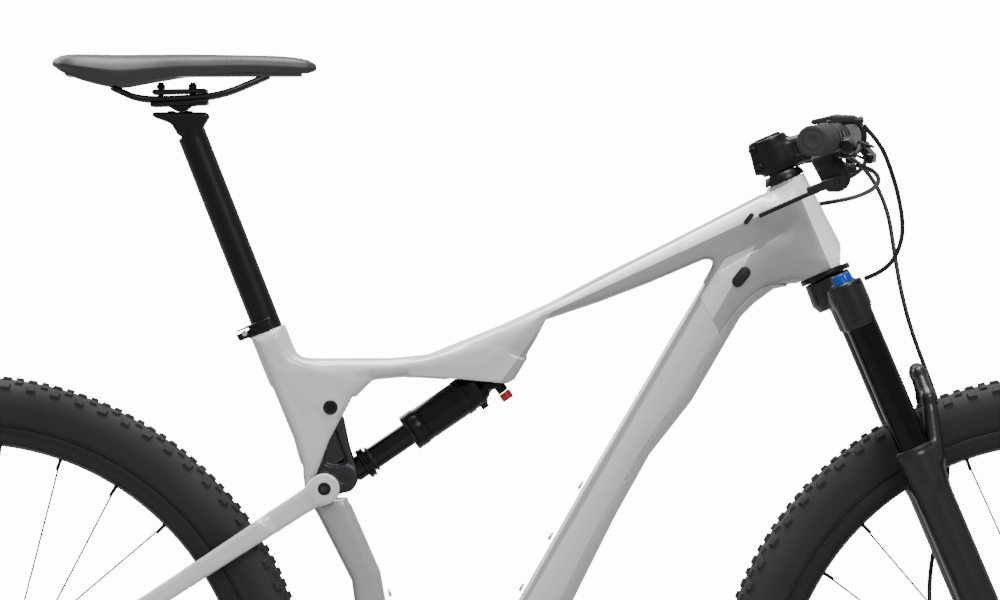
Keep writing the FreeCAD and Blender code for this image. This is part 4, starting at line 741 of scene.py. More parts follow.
def paint_finish(name):
    """The frame's gloss paint: light grey behind, mid grey ahead, white bands along the edges; on the frame
    also painted shade on the lower seat tube and in a strip along the down tube's upper edge, and a painted
    highlight where the top tube's band fades rearwards.
    """
    looks = bpy.context.scene.bike_finish
    made, tree, place = blank_finish(name)
    grey = drifting(tree, place, looks.rear_grey, 0.03, 5.0)
    for colour, masks in PAINTED_AREAS if name == "Frame Paint" else ():
        whole = banded(tree, place, *masks[0])
        for mask in masks[1:]:
            whole = summed(tree, "MULTIPLY", whole, banded(tree, place, *mask))
        grey = mixed(tree, grey, (*getattr(looks, colour), 1), whole)
    grain = grained(tree, place, 700, 0.20, 0.27)
    return dressed(made, grey, grain["Roughness"], grain["Height"], 0.03, Coat_Weight=0.6,
                   Coat_Roughness=0.05)


def leather_finish(name):
    """Synthetic leather with fine pebbling."""
    made, tree, place = blank_finish(name)
    tint = drifting(tree, place, bpy.context.scene.bike_finish.saddle_colour, 0.10)
    cells = node(tree, "ShaderNodeTexVoronoi", {"Vector": place, "Scale": 900.0}, feature="F1")
    pebbles = cells.outputs["Distance"]
    return dressed(made, tint, ranged(tree, pebbles, 0.1, 0.7, 0.36, 0.55), pebbles, 0.22, 0.0003)


def disc_finish(name):
    """The disc brakes' brushed steel."""
    made, tree, place = blank_finish(name)
    inputs = {"Vector": place, "Scale": 520.0, "Distortion": 2.0, "Detail": 3.0}
    waves = node(tree, "ShaderNodeTexWave", inputs, wave_type="BANDS",
                 bands_direction="DIAGONAL").outputs["Fac"]
    tint = drifting(tree, place, (0.52, 0.51, 0.50), 0.10)
    return dressed(made, tint, ranged(tree, waves, 0.0, 1.0, 0.2, 0.34), waves, 0.05, 0.0001, Metallic=1.0)


def floor_finish(name):
    made, tree, place = blank_finish(name)
    shader = tree.nodes["Principled BSDF"]
    tree.links.new(drifting(tree, place, (0.34, 0.34, 0.34), 0.01, 0.8), shader.inputs["Base Color"])
    shader.inputs["Roughness"].default_value = 0.75
    return made


def guard_finish(name):
    """The textured grey film over the down tube's lower edge."""
    made, tree, place = blank_finish(name)
    tint = drifting(tree, place, bpy.context.scene.bike_finish.guard_grey, 0.05)
    grain = grained(tree, place, 1100, 0.34, 0.46)
    return dressed(made, tint, grain["Roughness"], grain["Height"], 0.08)


SPECIAL_FINISHES = {
    "Guard Paint": guard_finish, "Frame Paint": paint_finish, "Rear Paint": paint_finish,
    "Saddle Cover": leather_finish, "Rotor Steel": disc_finish, "Studio Floor": floor_finish}


def material(name):
    """The finish of that name, made the first time that it is asked for."""
    return bpy.data.materials.get(name) or SPECIAL_FINISHES.get(name, plain_finish)(name)


# ---------------------------------------------------------------- frame

TOP_TUBE = [(-268, 757), (-224, 757), (-131, 757.3), (-92, 761.2), (-14, 792.5), (39, 817),
            (92, 844.8), (167, 882), (264, 932), (300, 932), (318, 880), (209.5, 865.2),
            (145.7, 837.8), (92.4, 817.3), (34.7, 798), (23.6, 776.5), (-1.5, 735), (-9, 729.4),
            (-57, 734.8), (-104, 738), (-152, 733.7), (-172.9, 712.7), (-178.9, 700.7), (-230, 690)]
DOWN_TUBE = [(300, 905), (213, 853.7), (170.5, 782.8), (77, 624.5), (6.4, 500.3), (-20, 462),
             (-92, 388), (-135, 352), (-140, 309), (-112, 308), (-62, 348), (36, 452), (61.8, 498.4),
             (107.7, 590), (144, 655), (188.9, 712.3), (226.3, 776.5), (241.4, 802.2),
             (255.6, 816.5), (276.9, 832.4), (312, 840), (340, 860)]
MAST = [(-279, 779), (-249, 790), (-240.5, 768), (-235, 760.5), (-224, 757), (-150, 735),
        (-172.9, 712.7), (-178.9, 700.7), (-195.5, 669), (-200, 657), (-209, 633), (-212, 628),
        (-212, 610.2), (-195.3, 608.5),
        (-178, 610.2), (-142.5, 528.8), (-125, 430), (-113, 330), (-165, 335), (-166, 399),
        (-166, 470), (-173, 520), (-208, 588), (-224, 615), (-226, 640), (-235, 672)]
LINK_CHANNEL = [(-213, 714), (-196, 724), (-176, 720), (-150, 700), (-120, 660), (-130, 603),
                (-185, 601), (-240, 596), (-240, 640), (-214, 650)]
# the web that closes the corner between the two main tubes, and the cheeks beside the damper
WEB = [(203, 869), (211, 864.5), (213, 860), (212, 853), (205, 840), (235, 835), (262, 870), (240, 885)]
CHEEKS = [(-112, 738), (-57, 734.8), (-7, 729.9), (0, 734), (14, 757), (-30, 770), (-110, 752)]
GUARD = [(60, 455), (100, 545), (165, 640), (255, 780), (300, 838), (262, 834), (230, 800),
         (185, 730), (140, 664), (95, 588), (40, 480)]


def frame_shape(p):
    """The frame's outer skin, before its openings."""
    wide = bpy.context.scene.bike_sizes.tube_width / MM / 2
    top = plate(p, TOP_TUBE, -wide, wide, 17)
    down = plate(p, DOWN_TUBE, -wide, wide, 22)
    mast = plate(p, MAST, -wide, wide, 11)
    head = turned_field(p, HEAD_FOOT, STEER_UP, [(0, 28.8), (8, 29), (58, 25), (106, 21.5)], 1.2)
    shell = barrel(p, CRANK, ACROSS, -46, 46, 24.5, 2)
    collar = barrel(p, POST_POINT, POST_UP, -90, -35, 18.2, 2)
    start, end = (vec(x, 0, z) for x, z in CREASE)
    below = along_axis(p, start, -quarter(end - start))
    behind = along_axis(p, vec(10, 0, 765), vec(-59, 0, 43))
    lean = (np.abs(p[1]) - wide + 0.5 * (below - np.maximum(0, behind))) / math.hypot(1, 0.5)
    top = smooth_max(top, lean, 3)
    web = plate(p, WEB, -15, 15, 6)
    cheeks = plate(p, CHEEKS, -25.5, 25.5, 2.5)
    foot = rod(p, CRANK + ACROSS * -20, CRANK + ACROSS * 20, 24.5, 24.5)
    whole = joined_fields(9, smooth_min(smooth_min(top, cheeks, 6), mast, 4),
                          joined_fields(6, down, foot, web), head, collar)
    whole = smooth_min(whole, shell, 5)
    boss = joined_fields(1, *(barrel(p, LINK_PIVOT, ACROSS * side, 24, 27.8, 12.5, 1.2) for side in (-1, 1)))
    return joined_fields(2, whole, boss)


def frame_field(p):
    skin = frame_shape(p)
    channel = plate(p, LINK_CHANNEL, -19.5, 19.5, 2)
    corners = [shock_line(70, -24.5), shock_line(208, -24.5), shock_line(208, 40), shock_line(70, 40)]
    pocket = plate(p, [(point[0], point[2]) for point in corners], -21.5, 21.5, 3)
    bores = [barrel(p, CRANK, ACROSS, -60, 60, 20.5), barrel(p, HEAD_FOOT, STEER_UP, -20, 130, 17.5),
             barrel(p, POST_POINT, POST_UP, -127, 40, 15.6)]
    outside = [barrel(p, HEAD_FOOT, STEER_UP, 106, 160, 50), barrel(p, HEAD_FOOT, STEER_UP, -40, 0, 45),
               box(p, seat_line(-26, 6), -quarter(POST_UP), POST_UP, (62, 90, 18), 0.5)]
    return carved(carved(skin, 1.5, channel, pocket), 0.6, *(bores + outside))


def guard_field(p):
    """A thin guard shell along the lower edge of the down tube."""
    wide = bpy.context.scene.bike_sizes.tube_width / MM / 2
    proud = plate(p, DOWN_TUBE, -wide, wide, 22) - 1.6
    region = plate(p, eased(GUARD, 14), -40, 40, 2)
    return smooth_max(smooth_max(proud, region, 1.2), -(proud + 4.5), 0.5)


def frame_skin():
    moulded("frame_shell", frame_field, (-290, -50, 296), (345, 50, 960), 2.4, "frame", "Frame Paint",
            "frame_paint", ["frame"])
    moulded("down_tube_guard", guard_field, (30, -32, 440), (312, 32, 850), 2.0, "frame", "Guard Paint",
            "frame_paint")
    lower = [(-6, 15), (-6, 27), (-5, 28), (-1.2, 28), (-0.2, 27), (-0.2, 17.3), (12, 17.3), (12, 15)]
    top = 106
    cover = [(top - 12, 15), (top - 12, 17.3), (top + 0.2, 17.3), (top + 0.2, 22), (top + 1, 22.5),
             (top + 5, 21.5), (top + 9.5, 19), (top + 9.5, 15)]
    piece("headset_rings", [turned(eased(lower, 0.5), HEAD_FOOT, STEER_UP),
                            turned(eased(cover, 0.6), HEAD_FOOT,
          STEER_UP)], "frame", "Black Alloy", "black_alloy", ["headset"])
    cups = []
    for side in (-1, 1):
        cup = [(32, 15.1), (49, 15.1), (49, 21), (48, 22), (46.2, 22), (46.2, 20.4), (32, 20.4)]
        cups.append(turned(eased(cup, 0.5), CRANK, ACROSS * side))
    piece("bearing_cups", cups, "frame", "Black Alloy", "black_alloy", ["bottom_bracket"])


def seat_clamp_field(p):
    band = barrel(p, seat_line(-36), POST_UP, 0, 14, 21.5, 1.6)
    behind = seat_line(-28.5, -25)
    forward = -quarter(POST_UP)
    lug = box(p, behind, forward, POST_UP, (18, 17, 12), 3)
    groove = np.abs(along_axis(p, seat_line(-25.5), POST_UP)) - 1.2
    ring_groove = np.maximum(groove, -barrel(p, seat_line(-60), POST_UP, 0, 60, 19.4))
    whole = smooth_min(band, lug, 3)
    slit = box(p, behind, forward, POST_UP, (24, 1.5, 16), 0.2)
    return carved(whole, 0.5, ring_groove, slit, barrel(p, POST_POINT, POST_UP, -50, 0, 15.5),
                  barrel(p, behind, ACROSS, 6.5, 20, 3.4), barrel(p, behind, -ACROSS, 6.5, 20, 3.4))


def frame_fittings():
    behind = seat_line(-28.5, -25)
    moulded("seat_collar", seat_clamp_field, (-310, -24, 760), (-262, 24, 830), 0.9, "frame", "Black Alloy",
            "black_alloy", ["seat_clamp"])
    piece("seat_collar_bolt", [bolt(behind + ACROSS * side * 6, ACROSS * side, 3.2, 4) for side in (-1, 1)],
          "frame", "Polished Bolt", "steel")
    pins = [bolt(LINK_PIVOT + ACROSS * side * 27.4, ACROSS * side, 7.7, 3.0) for side in (-1, 1)]
    pins += [pin(27, 6, LINK_PIVOT), pin(24, 5, SHOCK_FRONT)]
    piece("pivot_bolts", pins, "frame", "Black Alloy", "steel", ["frame_pivot_bolts"])
    heads = []
    for x, z, tilt in ((73.2, 620.3, 150), (41.1, 565.8, 150), (10, 511.2, 150), (-134.3, 505.9, 17)):
        outward = ray(math.radians(tilt))
        heads.append(bolt(vec(x, 0, z) + outward * 0.2, outward, 4.5, 3.2))
    piece("cage_bolts", heads, "frame", "Polished Bolt", "steel", ["bottle_bolts"])
    plugs = []
    along = ray(math.radians(-38))
    up = quarter(along)
    for side in (-1, 1):
        for x, z, half, long in ((242.7, 843.9, 6.2, 6), (250.7, 906, 2.6, 4.5)):
            outline = [(half * math.cos(a), long * (1 if math.sin(a) > 0 else -1) + half * math.sin(a))
                       for a in (math.pi * (2 * n + 1) / 24 for n in range(24))]
            low, high = (24.2, 29) if side > 0 else (-29, -24.2)
            plugs.append(prism(outline, -high, -low, (x, 0, z), along, up, 0.12))
    piece("hose_ports", plugs, "frame", "Seal Rubber", "rubber", ["port_plugs"], clean=True)


# ---------------------------------------------------------------- swingarm, link and shock

STAY_INNER = [(0, 74), (45, 74), (110, 60), (255, 36.5), (375, 36.5), (390, 29.5), (480, 29.5)]
CHAINSTAY = [(-572, 368, 12), (-520, 362, 11), (-470, 358, 11), (-400, 354, 12), (-330, 352, 13),
             (-262, 356, 14), (-215, 368, 15), (-186, 383, 15), (-160, 394, 15)]
SEATSTAY = [(0.03, 11), (0.1, 9.5), (0.25, 9), (0.45, 9.5), (0.62, 10), (0.82, 11), (0.86, 11.5), (0.95, 12),
            (0.985, 12.5)]


def stay_stations(points, side, thick):
    """Stations of a stay that leans in past the wheel."""
    reach, inner = zip(*STAY_INNER)
    stations = []
    for x, z, half in points:
        near = float(np.interp(math.hypot(x - REAR_AXLE[0], z - REAR_AXLE[2]), reach, inner))
        stations.append((x, z, half, -side * (near + thick / 2), thick / 2))
    return stations


def swingarm_field(p):
    parts = []
    upward = [(REAR_AXLE[0] + (STAY_PIVOT - REAR_AXLE)[0] * share,
               REAR_AXLE[2] + (STAY_PIVOT - REAR_AXLE)[2] * share, half) for share, half in SEATSTAY]
    for side in (-1, 1):
        out = ACROSS * side
        chainstay = ribbon(p, vec(0, 0, 0), AHEAD, UP, stay_stations(CHAINSTAY, side, 11.5), 5)
        seatstay = ribbon(p, vec(0, 0, 0), AHEAD, UP, stay_stations(upward, side, 11), 5)
        eye = barrel(p, STAY_PIVOT, out, 29.5, 41.2, 16.5, 3)
        main = smooth_min(barrel(p, MAIN_PIVOT, out, 36, 48.2, 17, 3),
                          barrel(p, MAIN_PIVOT, out, 28, 40, 13, 1), 1)
        dropout = barrel(p, REAR_AXLE, out, 74, 85, 19, 3)
        parts.append(joined_fields(7, chainstay, seatstay, eye, main, dropout))
    hanger = plate(p, [(-597, 360), (-575, 360), (-574, 334), (-599, 334)], -85, -75, 2)
    bridge = box(p, (-188, 0, 390), AHEAD, UP, (24, 94, 26), 7)
    whole = joined_fields(8, parts[0], parts[1], bridge)
    bores = [barrel(p, STAY_PIVOT, ACROSS, -60, 60, 4.1), barrel(p, MAIN_PIVOT, ACROSS, -60, 60, 6.1),
             barrel(p, REAR_AXLE, ACROSS, -100, 100, 6.1)]
    return carved(smooth_min(whole, hanger, 4), 0.5, *bores)


def swingarm_skin():
    moulded("swingarm_shell", swingarm_field, (-604, -92, 330), (-128, 92, 640), 2.2, "swingarm",
            "Rear Paint", "rear_paint", ["swingarm"])
    bolts = []
    for side in (-1, 1):
        out = ACROSS * side
        bolts.append(bolt(STAY_PIVOT + out * 41, out, 7.2, 2.2))
        bolts.append(bolt(MAIN_PIVOT + out * 48, out, 9, 2.0))
    bolts += [pin(42, 4, STAY_PIVOT), pin(48, 6, MAIN_PIVOT)]
    piece("stay_bolts", bolts, "swingarm", "Black Alloy", "steel", ["stay_pivot_bolts"])
    axle = [(-86.5, 0), (-86.5, 5.4), (-86, 6), (85.2, 6), (85.2, 8), (85.7, 8.5), (86.5, 8.5), (87, 8),
            (87, 4), (84, 3.6), (84, 0)]
    piece("rear_through_axle", [turned(axle, REAR_AXLE, ACROSS, closed=False)], "swingarm", "Black Alloy",
          "steel", ["rear_axle"])


LINK_OUTLINE = [(-182, 697), (-176, 667), (-171, 650), (-166.5, 640), (-166, 630), (-172, 616), (-188, 612),
                (-206, 606), (-212, 640), (-207, 690)]
LINK_RECESS = [(-190, 684), (-182, 660), (-176, 646), (-186, 641), (-203, 643), (-201, 662)]


def link_field(p):
    body = plate(p, eased(LINK_OUTLINE, 5), -18, 18, 3)
    bosses = [barrel(p, LINK_PIVOT, ACROSS, -18, 18, 13, 1.6),
              barrel(p, STAY_PIVOT, ACROSS, -18, 18, 16, 1.6),
              barrel(p, SHOCK_REAR, ACROSS, -18, 18, 14, 1.6)]
    whole = joined_fields(4, body, *bosses)
    gaps = [barrel(p, SHOCK_REAR, ACROSS, -12, 12, 17),
            box(p, shock_line(15), SHOCK_ALONG, -SHOCK_DOWN, (46, 28, 36), 1)]
    recesses = [plate(p, eased(LINK_RECESS, 6), low, low + 12, 3) for low in (-27, 15)]
    bores = [barrel(p, LINK_PIVOT, ACROSS, -30, 30, 6.1), barrel(p, STAY_PIVOT, ACROSS, -30, 30, 11.2),
             barrel(p, SHOCK_REAR, ACROSS, -30, 30, 4.9)]
    return carved(whole, 0.8, *(gaps + recesses + bores))


def link_and_shock():
    pins = [pin(17.8, 5, SHOCK_REAR)]
    pins += [bolt(SHOCK_REAR + ACROSS * side * 17.6, ACROSS * side, 6.2, 0.9) for side in (-1, 1)]
    moulded("link_plate", link_field, (-222, -20, 598), (-160, 20, 722), 1.1, "rocker_link", "Link Anodising",
            "link_finish", ["rocker_link"], pins)
    shaft = [(10, 0), (10, 9), (14, 12.5), (24.6, 12.5), (25, 16), (26, 17), (28.5, 17), (29, 16.2),
             (29.6, 16.2), (30, 17), (32, 17), (33, 16), (33.2, 12.5), (112, 12.5), (112, 0)]
    eye = [(-11.5, 7.5), (-11.5, 11.8), (-10.8, 12.5), (10.8, 12.5), (11.5, 11.8), (11.5, 7.5)]
    piece("damper_shaft", [turned(shaft, SHOCK_REAR, SHOCK_ALONG, closed=False),
                           turned(eye, SHOCK_REAR, ACROSS)], "shock_shaft", "Shaft Chrome", "stanchion_coat",
          ["shock_shaft"], clean=True)
    ring = [(35, 12.6), (35, 14.2), (35.8, 14.8), (37.2, 14.8), (38, 14.2), (38, 12.6)]
    piece("sag_ring", [turned(ring, SHOCK_REAR, SHOCK_ALONG)], "shock_shaft", "Seal Rubber", "rubber")
    can = [(84, 12.7), (84, 18.6), (85.2, 20.5), (88, 20.5), (88.6, 19.9), (89.4, 19.9), (90, 20.5),
           (98, 20.5),
           (100, 19.6), (102, 19.5), (104, 19.5), (104.5, 19.0), (105.3, 19.0), (105.8, 19.5), (150, 19.5),
           (151, 20.3), (158, 20.3), (159, 19.4), (166, 19.4), (167, 20.2), (173, 20.2), (175, 17), (180, 14),
           (180, 12.7), (176, 12.7)]
    piece("air_can", [turned(can, SHOCK_REAR, SHOCK_ALONG, 96)], "shock_body", "Shock Anodising", "shock_can",
          ["shock_body"])
    moulded("damper_head", damper_head_field, (-60, -16, 690), (-8, 16, 752), 1.0, "shock_body",
            "Shock Anodising", "shock_can")
    knob = [(20.8, 0), (20.8, 6.0), (21.4, 6.5), (28.8, 6.5), (30, 5.4), (30, 2.6), (29, 2.2), (29, 0)]
    piece("rebound_knob", [fluted(knob, shock_line(193), SHOCK_DOWN, 6, 2, 21, 29.5)], "shock_knob",
          "Crimson Anodising", "crimson_knob", ["shock_knob"], clean=True)


def damper_head_field(p):
    neck = turned_field(p, SHOCK_REAR, SHOCK_ALONG, [(172, 14), (180, 13.5), (186, 11)], 1)
    eye = barrel(p, SHOCK_FRONT, ACROSS, -11, 11, 12, 1.2)
    boss = barrel(p, shock_line(193), SHOCK_DOWN, 0, 20.4, 6, 0.8)
    valve = barrel(p, shock_line(168), SHOCK_DOWN, 10, 24, 4.2, 0.8)
    whole = joined_fields(3, neck, eye, boss, valve)
    return carved(whole, 0.5, barrel(p, SHOCK_FRONT, ACROSS, -20, 20, 5.1))


# ---------------------------------------------------------------- wheels


def tyre_parts(axle):
    """A tyre's carcass and its rows of tread blocks."""
    outer, half = 367.4, 29.0
    profile = [(-15.5, 311), (-15.8, 317), (-20, 320), (-half + 2, 334), (-half, 343), (-half + 1.2, 353),
               (-half + 5, 360), (-half + 12, 364.8), (-9, 366.8), (0, outer), (9, 366.8), (half - 12, 364.8),
               (half - 5, 360), (half - 1.2, 353), (half, 343), (half - 2, 334), (20, 320), (15.8, 317),
               (15.5, 311), (12.5, 311), (13, 319), (23, 340), (20, 356), (0, 362), (-20, 356), (-23, 340),
               (-13, 319), (-12.5, 311)]
    parts = [turned(eased(profile, 3), axle, ACROSS, 192)]
    count = int(bpy.context.scene.bike_sizes.tread_pitches)
    height = bpy.context.scene.bike_sizes.knob_height / MM
    # rows: across, radius there, lean outwards, half across, half around, phase, height share
    rows = [(0, outer, 0, 3.4, 3.6, 0.0, 1.0)]
    for side in (-1, 1):
        rows += [(side * 8.6, 366.7, side * 8, 3.2, 4.4, 0.5, 1.0),
                 (side * 17.5, 363.8, side * 24, 3.0, 3.8, 0.0, 1.05),
                 (side * 24.2, 359.2, side * 44, 3.4, 4.6, 0.5, 1.15)]
    for across, radius, lean, half_across, half_around, phase, share in rows:
        out = math.radians(lean)
        for n in range(count):
            angle = 2 * math.pi * (n + phase) / count
            radial = ray(angle)
            around = quarter(radial)
            normal = radial * math.cos(out) + ACROSS * math.sin(out)
            side = np.cross(normal, around)
            foot = axle + radial * radius + ACROSS * across
            slant = 0.5 if (n % 2) else -0.5
            verts = []
            for level, scale in ((-1.2, 1.12), (height * share * 0.75, 0.94), (height * share, 0.82)):
                for a, b in ((-1, -1), (1, -1), (1, 1), (-1, 1)):
                    verts.append(foot + normal * level + side * (a * half_across * scale)
                                 + around * (b * half_around * scale + a * slant))
            faces = [(0, 1, 5, 4), (1, 2, 6, 5), (2, 3, 7, 6), (3, 0, 4, 7), (4, 5, 9, 8), (5, 6, 10, 9),
                     (6, 7, 11, 10), (7, 4, 8, 11), (8, 9, 10, 11)]
            parts.append((np.array(verts), faces))
    return parts


def rim_parts(axle):
    profile = [(-18, 316), (-18, 307), (-12.5, 298.5), (-6, 295), (6, 295), (12.5, 298.5), (18, 307),
               (18, 316), (15.8, 316), (15.8, 309.7), (9, 309), (5, 306), (-5, 306), (-9, 309),
               (-15.8, 309.7), (-15.8, 316)]
    hoop = turned(eased(profile, 1.6), axle, ACROSS, 192)
    foot = axle + vec(0, 0, -297)
    valve = [(0, 0), (0, 3), (34, 3), (36, 2.2), (42, 1.8), (42, 0)]
    return [hoop, turned(valve, foot, UP, 20, False)]


def nipples(axle, count=28):
    """Spoke nipples where the spokes meet the rim."""
    parts = []
    for n in range(count):
        side = 1 if n % 2 else -1
        angle = 2 * math.pi * (n + 0.5) / count
        out = ray(angle)
        foot = axle + out * 283 + ACROSS * side * 3.0
        parts.append(turned([(0, 1.0), (0, 1.6), (1, 1.9), (10, 1.9), (12.5, 2.6), (13, 1.0)], foot, out, 10))
    return parts


def hub_profile(half, flanges, rotor_y, freehub):
    right, left = flanges
    low = -half + 0.3
    outline = [(low, 6.1), (half - 0.3, 6.1), (half - 0.3, 10.5), (rotor_y + 2.5, 10.5), (rotor_y + 2.5, 17),
               (left + 3.6, 17), (left + 3.2, 21), (left + 1.6, 26), (left - 1.6, 26), (left - 2.4, 19),
               (left - 8, 14), (right + 8, 14), (right + 2.4, 19), (right + 1.6, 26), (right - 1.6, 26)]
    if freehub:
        return outline + [(right - 2.6, 10), (low, 10)]
    return outline + [(right - 3, 17), (right - 6, 14), (low + 6, 14), (low + 6, 10.5), (low, 10.5)]


def rotor_parts(axle, across):
    """A drilled and scalloped brake disc on six curved arms, with its lockring."""
    steps = (2 * math.pi * n / 144 for n in range(144))
    loops = [[polar(78.9 + 1.1 * math.cos(12 * angle), angle) for angle in steps]]
    for n in range(6):
        start = math.radians(60 * n + 20)
        outside = [start + math.radians(9) + 0.35 + math.radians(45) * k / 12 for k in range(13)]
        inside = [start + math.radians(46) - math.radians(32) * k / 8 for k in range(9)]
        window = [polar(64.0, angle) for angle in outside] + [polar(27.5, angle) for angle in inside]
        loops.append(eased(window, 2.5))
    for n in range(24):
        angle = 2 * math.pi * n / 24
        for radius, size, shift in ((70.5, 2.3, 0.0), (74.6, 1.7, 0.09), (67.6, 1.6, -0.10)):
            loops.append(circle(size, 10, polar(radius, angle + shift)))
    loops.append(circle(17.2, 40))
    plate_part = pressed(loops, 0.9, 0.15, axle + ACROSS * across)
    ring = [(across + 0.9, 17.1), (across + 0.9, 23), (across + 1.6, 23.6), (across + 2.4, 23),
            (across + 2.4, 17.1)]
    return plate_part, turned(ring, axle, ACROSS, 48)


def build_wheel(label, axle, body, half, flanges, rotor_y, freehub):
    piece(label + "_tyre_tread", tyre_parts(axle), body, "Tyre Tread", "tyre_rubber", [label + "_tyre"],
          sharp=40)
    piece(label + "_hoop", rim_parts(axle), body, "Rim Carbon", "black_alloy", [label + "_rim"], sharp=40)
    piece(label + "_nipples", nipples(axle), body, "Spoke Black", "spoke_black")
    outline = eased(hub_profile(half, flanges, rotor_y, freehub), 0.8)
    piece(label + "_hub_shell", [turned(outline, axle, ACROSS)],
          body, "Black Alloy", "black_alloy", [label + "_hub"])
    disc, lockring = rotor_parts(axle, rotor_y)
    piece(label + "_disc", [disc], body, "Rotor Steel", "steel", [label + "_rotor"])
    piece(label + "_lockring", [lockring], body, "Black Alloy", "black_alloy")
    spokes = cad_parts[label + "_spokes"].data.materials
    spokes.clear()
    spokes.append(material("Spoke Black"))


# ---------------------------------------------------------------- drivetrain


def toothed(teeth, tip=2.6, root=-2.9):
    """A sprocket's outline about its pitch circle."""
    radius = pitch_radius(teeth)
    outline = []
    for n in range(teeth):
        for share, height in ((-0.40, root * 0.75), (-0.28, root), (-0.12, root), (0.0, root * 0.75),
                              (0.13, 0.4), (0.22, tip), (0.38, tip), (0.47, 0.4)):
            outline.append(polar(radius + height, 2 * math.pi * (n + share) / teeth))
    return outline


def cassette_parts():
    parts = []
    for n, teeth in enumerate(COG_TEETH):
        radius = pitch_radius(teeth)
        loops = [toothed(teeth)]
        if radius > 42:
            arms = 8 if radius > 70 else 6
            inner, outer = 24.0 if radius < 70 else radius * 0.45, radius - 7.5
            for k in range(arms):
                start = 2 * math.pi * (k + n * 0.13) / arms
                width = 2 * math.pi / arms
                window = [polar(outer, start + width * s) for s in (0.14, 0.38, 0.62, 0.86)]
                window += [polar(inner, start + width * s) for s in (0.74, 0.5, 0.26)]
                loops.append(eased(window, 2.0))
        loops.append(circle(min(15.2, radius - 6), 24))
        parts.append(pressed(loops, 0.85, 0.12, REAR_AXLE + ACROSS * (-68 + n * 3.65)))
    sleeve = [(-71.5, 10.1), (-71.5, 14), (-70.5, 15.5), (-26, 15.5), (-25.5, 15), (-25.5, 10.1)]
    parts.append(turned(sleeve, REAR_AXLE, ACROSS))
    lock = [(-71.6, 10.1), (-71.6, 13.5), (-71.0, 14.5), (-69.5, 14.5), (-69.5, 10.1)]
    parts.append(turned(lock, REAR_AXLE, ACROSS))
    return parts


def tangent_angle(near, near_radius, far, far_radius, side, crossed):
    """The angle on both circles where the straight run between them touches."""
    run = far - near
    radii = near_radius + far_radius if crossed else near_radius - far_radius
    return math.atan2(run[2], run[0]) + side * math.acos(radii / np.linalg.norm(run))


def wrapped(centre, radius, start, sweep, count=60):
    angles = start + sweep * np.arange(count + 1) / count
    return [centre + ray(a, radius) for a in angles]


def chain_line_points():
    """The chain's pitch line, closed, as evenly spaced pin places."""
    big, cog, small = pitch_radius(32), pitch_radius(18), pitch_radius(12)
    top = tangent_angle(REAR_AXLE, cog, CRANK, big, 1, False)
    low = tangent_angle(CRANK, big, TENSION, small, 1, False)
    between = tangent_angle(TENSION, small, GUIDE, small, 1, True)
    feed = tangent_angle(GUIDE, small, REAR_AXLE, cog, -1, True)
    full = 2 * math.pi
    route = wrapped(CRANK, big, top, -((top - low) % full))
    route += wrapped(TENSION, small, low, -((low - between) % full))
    route += wrapped(GUIDE, small, between + math.pi, (feed - between - math.pi) % full)
    route += wrapped(REAR_AXLE, cog, feed + math.pi, -((feed + math.pi - top) % full))
    route.append(route[0])
    route = np.array(route)
    steps = np.concatenate([[0], np.cumsum(np.linalg.norm(np.diff(route, axis=0), axis=1))])
    count = int(round(steps[-1] / PITCH / 2)) * 2
    marks = np.linspace(0, steps[-1], count, endpoint=False)
    return np.stack([np.interp(marks, steps, route[:, n]) for n in range(3)], 1)


def chain_parts():
    """Every link's plates and rollers."""
    pins = chain_line_points()
    count = len(pins)
    parts = []
    across = ACROSS * CHAIN_LINE
    for n in range(count):
        here, there = pins[n], pins[(n + 1) % count]
        length = float(np.linalg.norm(there - here))
        along = (there - here) / length
        up = np.cross(along, ACROSS)
        turns = [math.pi / 2 + math.pi * k / 6 for k in range(7)]
        waist = [polar(4.1, angle) for angle in turns] + [(length / 2, -3.1)]
        waist += [(length - a, -b) for a, b in (polar(4.1, angle) for angle in turns)] + [(length / 2, 3.1)]
        levels = ((1.95, 2.75), (-2.75, -1.95)) if n % 2 else ((1.15, 1.9), (-1.9, -1.15))
        for low, high in levels:
            parts.append(prism(waist, low, high, here + across, along, up))
        parts += [pin(1.1, 3.6, here + across, ACROSS, 10), pin(2.9, 1.7, here + across, ACROSS, 8)]
    return parts


def chainring_parts():
    radius = pitch_radius(32)
    loops = [toothed(32)]
    for n in range(8):
        start = math.pi / 4 * n
        window = [polar(radius - 9, start + s) for s in (0.12, 0.3, 0.485, 0.665)]
        window += [polar(25.5, start + s) for s in (0.56, 0.39, 0.225)]
        loops.append(eased(window, 4))
    loops.append(circle(15.2, 40))
    ring = pressed(loops, 0.85, 0.15, CRANK + ACROSS * CHAIN_LINE)
    carrier = [(CHAIN_LINE - 2.0, 15.2), (CHAIN_LINE - 2.0, 22), (CHAIN_LINE - 1.4, 22.8),
               (CHAIN_LINE + 1.4, 22.8), (CHAIN_LINE + 2.0, 22), (CHAIN_LINE + 2.0, 15.2)]
    return [ring, turned(carrier, CRANK, ACROSS)]


def crank_field(p):
    arms = []
    for side in (-1, 1):
        reach = -side * 172
        sign = math.copysign(1, reach)
        across = side * 64.5
        stations = [(-145, 330, 19, -across, 7), (-145 + sign * 34, 330, 13.5, -across, 7),
                    (-145 + reach - sign * 40, 330, 10.5, -across, 6.6),
                    (-145 + reach, 330, 13.8, -across, 7)]
        arm = ribbon(p, vec(0, 0, 0), AHEAD, UP, stations, 4)
        face = across + side * 7
        groove = box(p, (-145 + reach * 0.5, face + side * 1.0, 330), AHEAD, UP, (92, 5.6, 10), 2.4)
        eye = barrel(p, CRANK + AHEAD * reach, ACROSS * side, 50, 80, 7)
        cap = barrel(p, CRANK, ACROSS * side, 70, 80, 12)
        arms.append(carved(arm, 1.2, groove, eye, cap))
    spindle = barrel(p, CRANK, ACROSS, -68, 68, 15, 1)
    return np.minimum(np.minimum(arms[0], arms[1]), carved(spindle, 0.5,
                                                           barrel(p, CRANK, ACROSS, -80, 80, 11)))


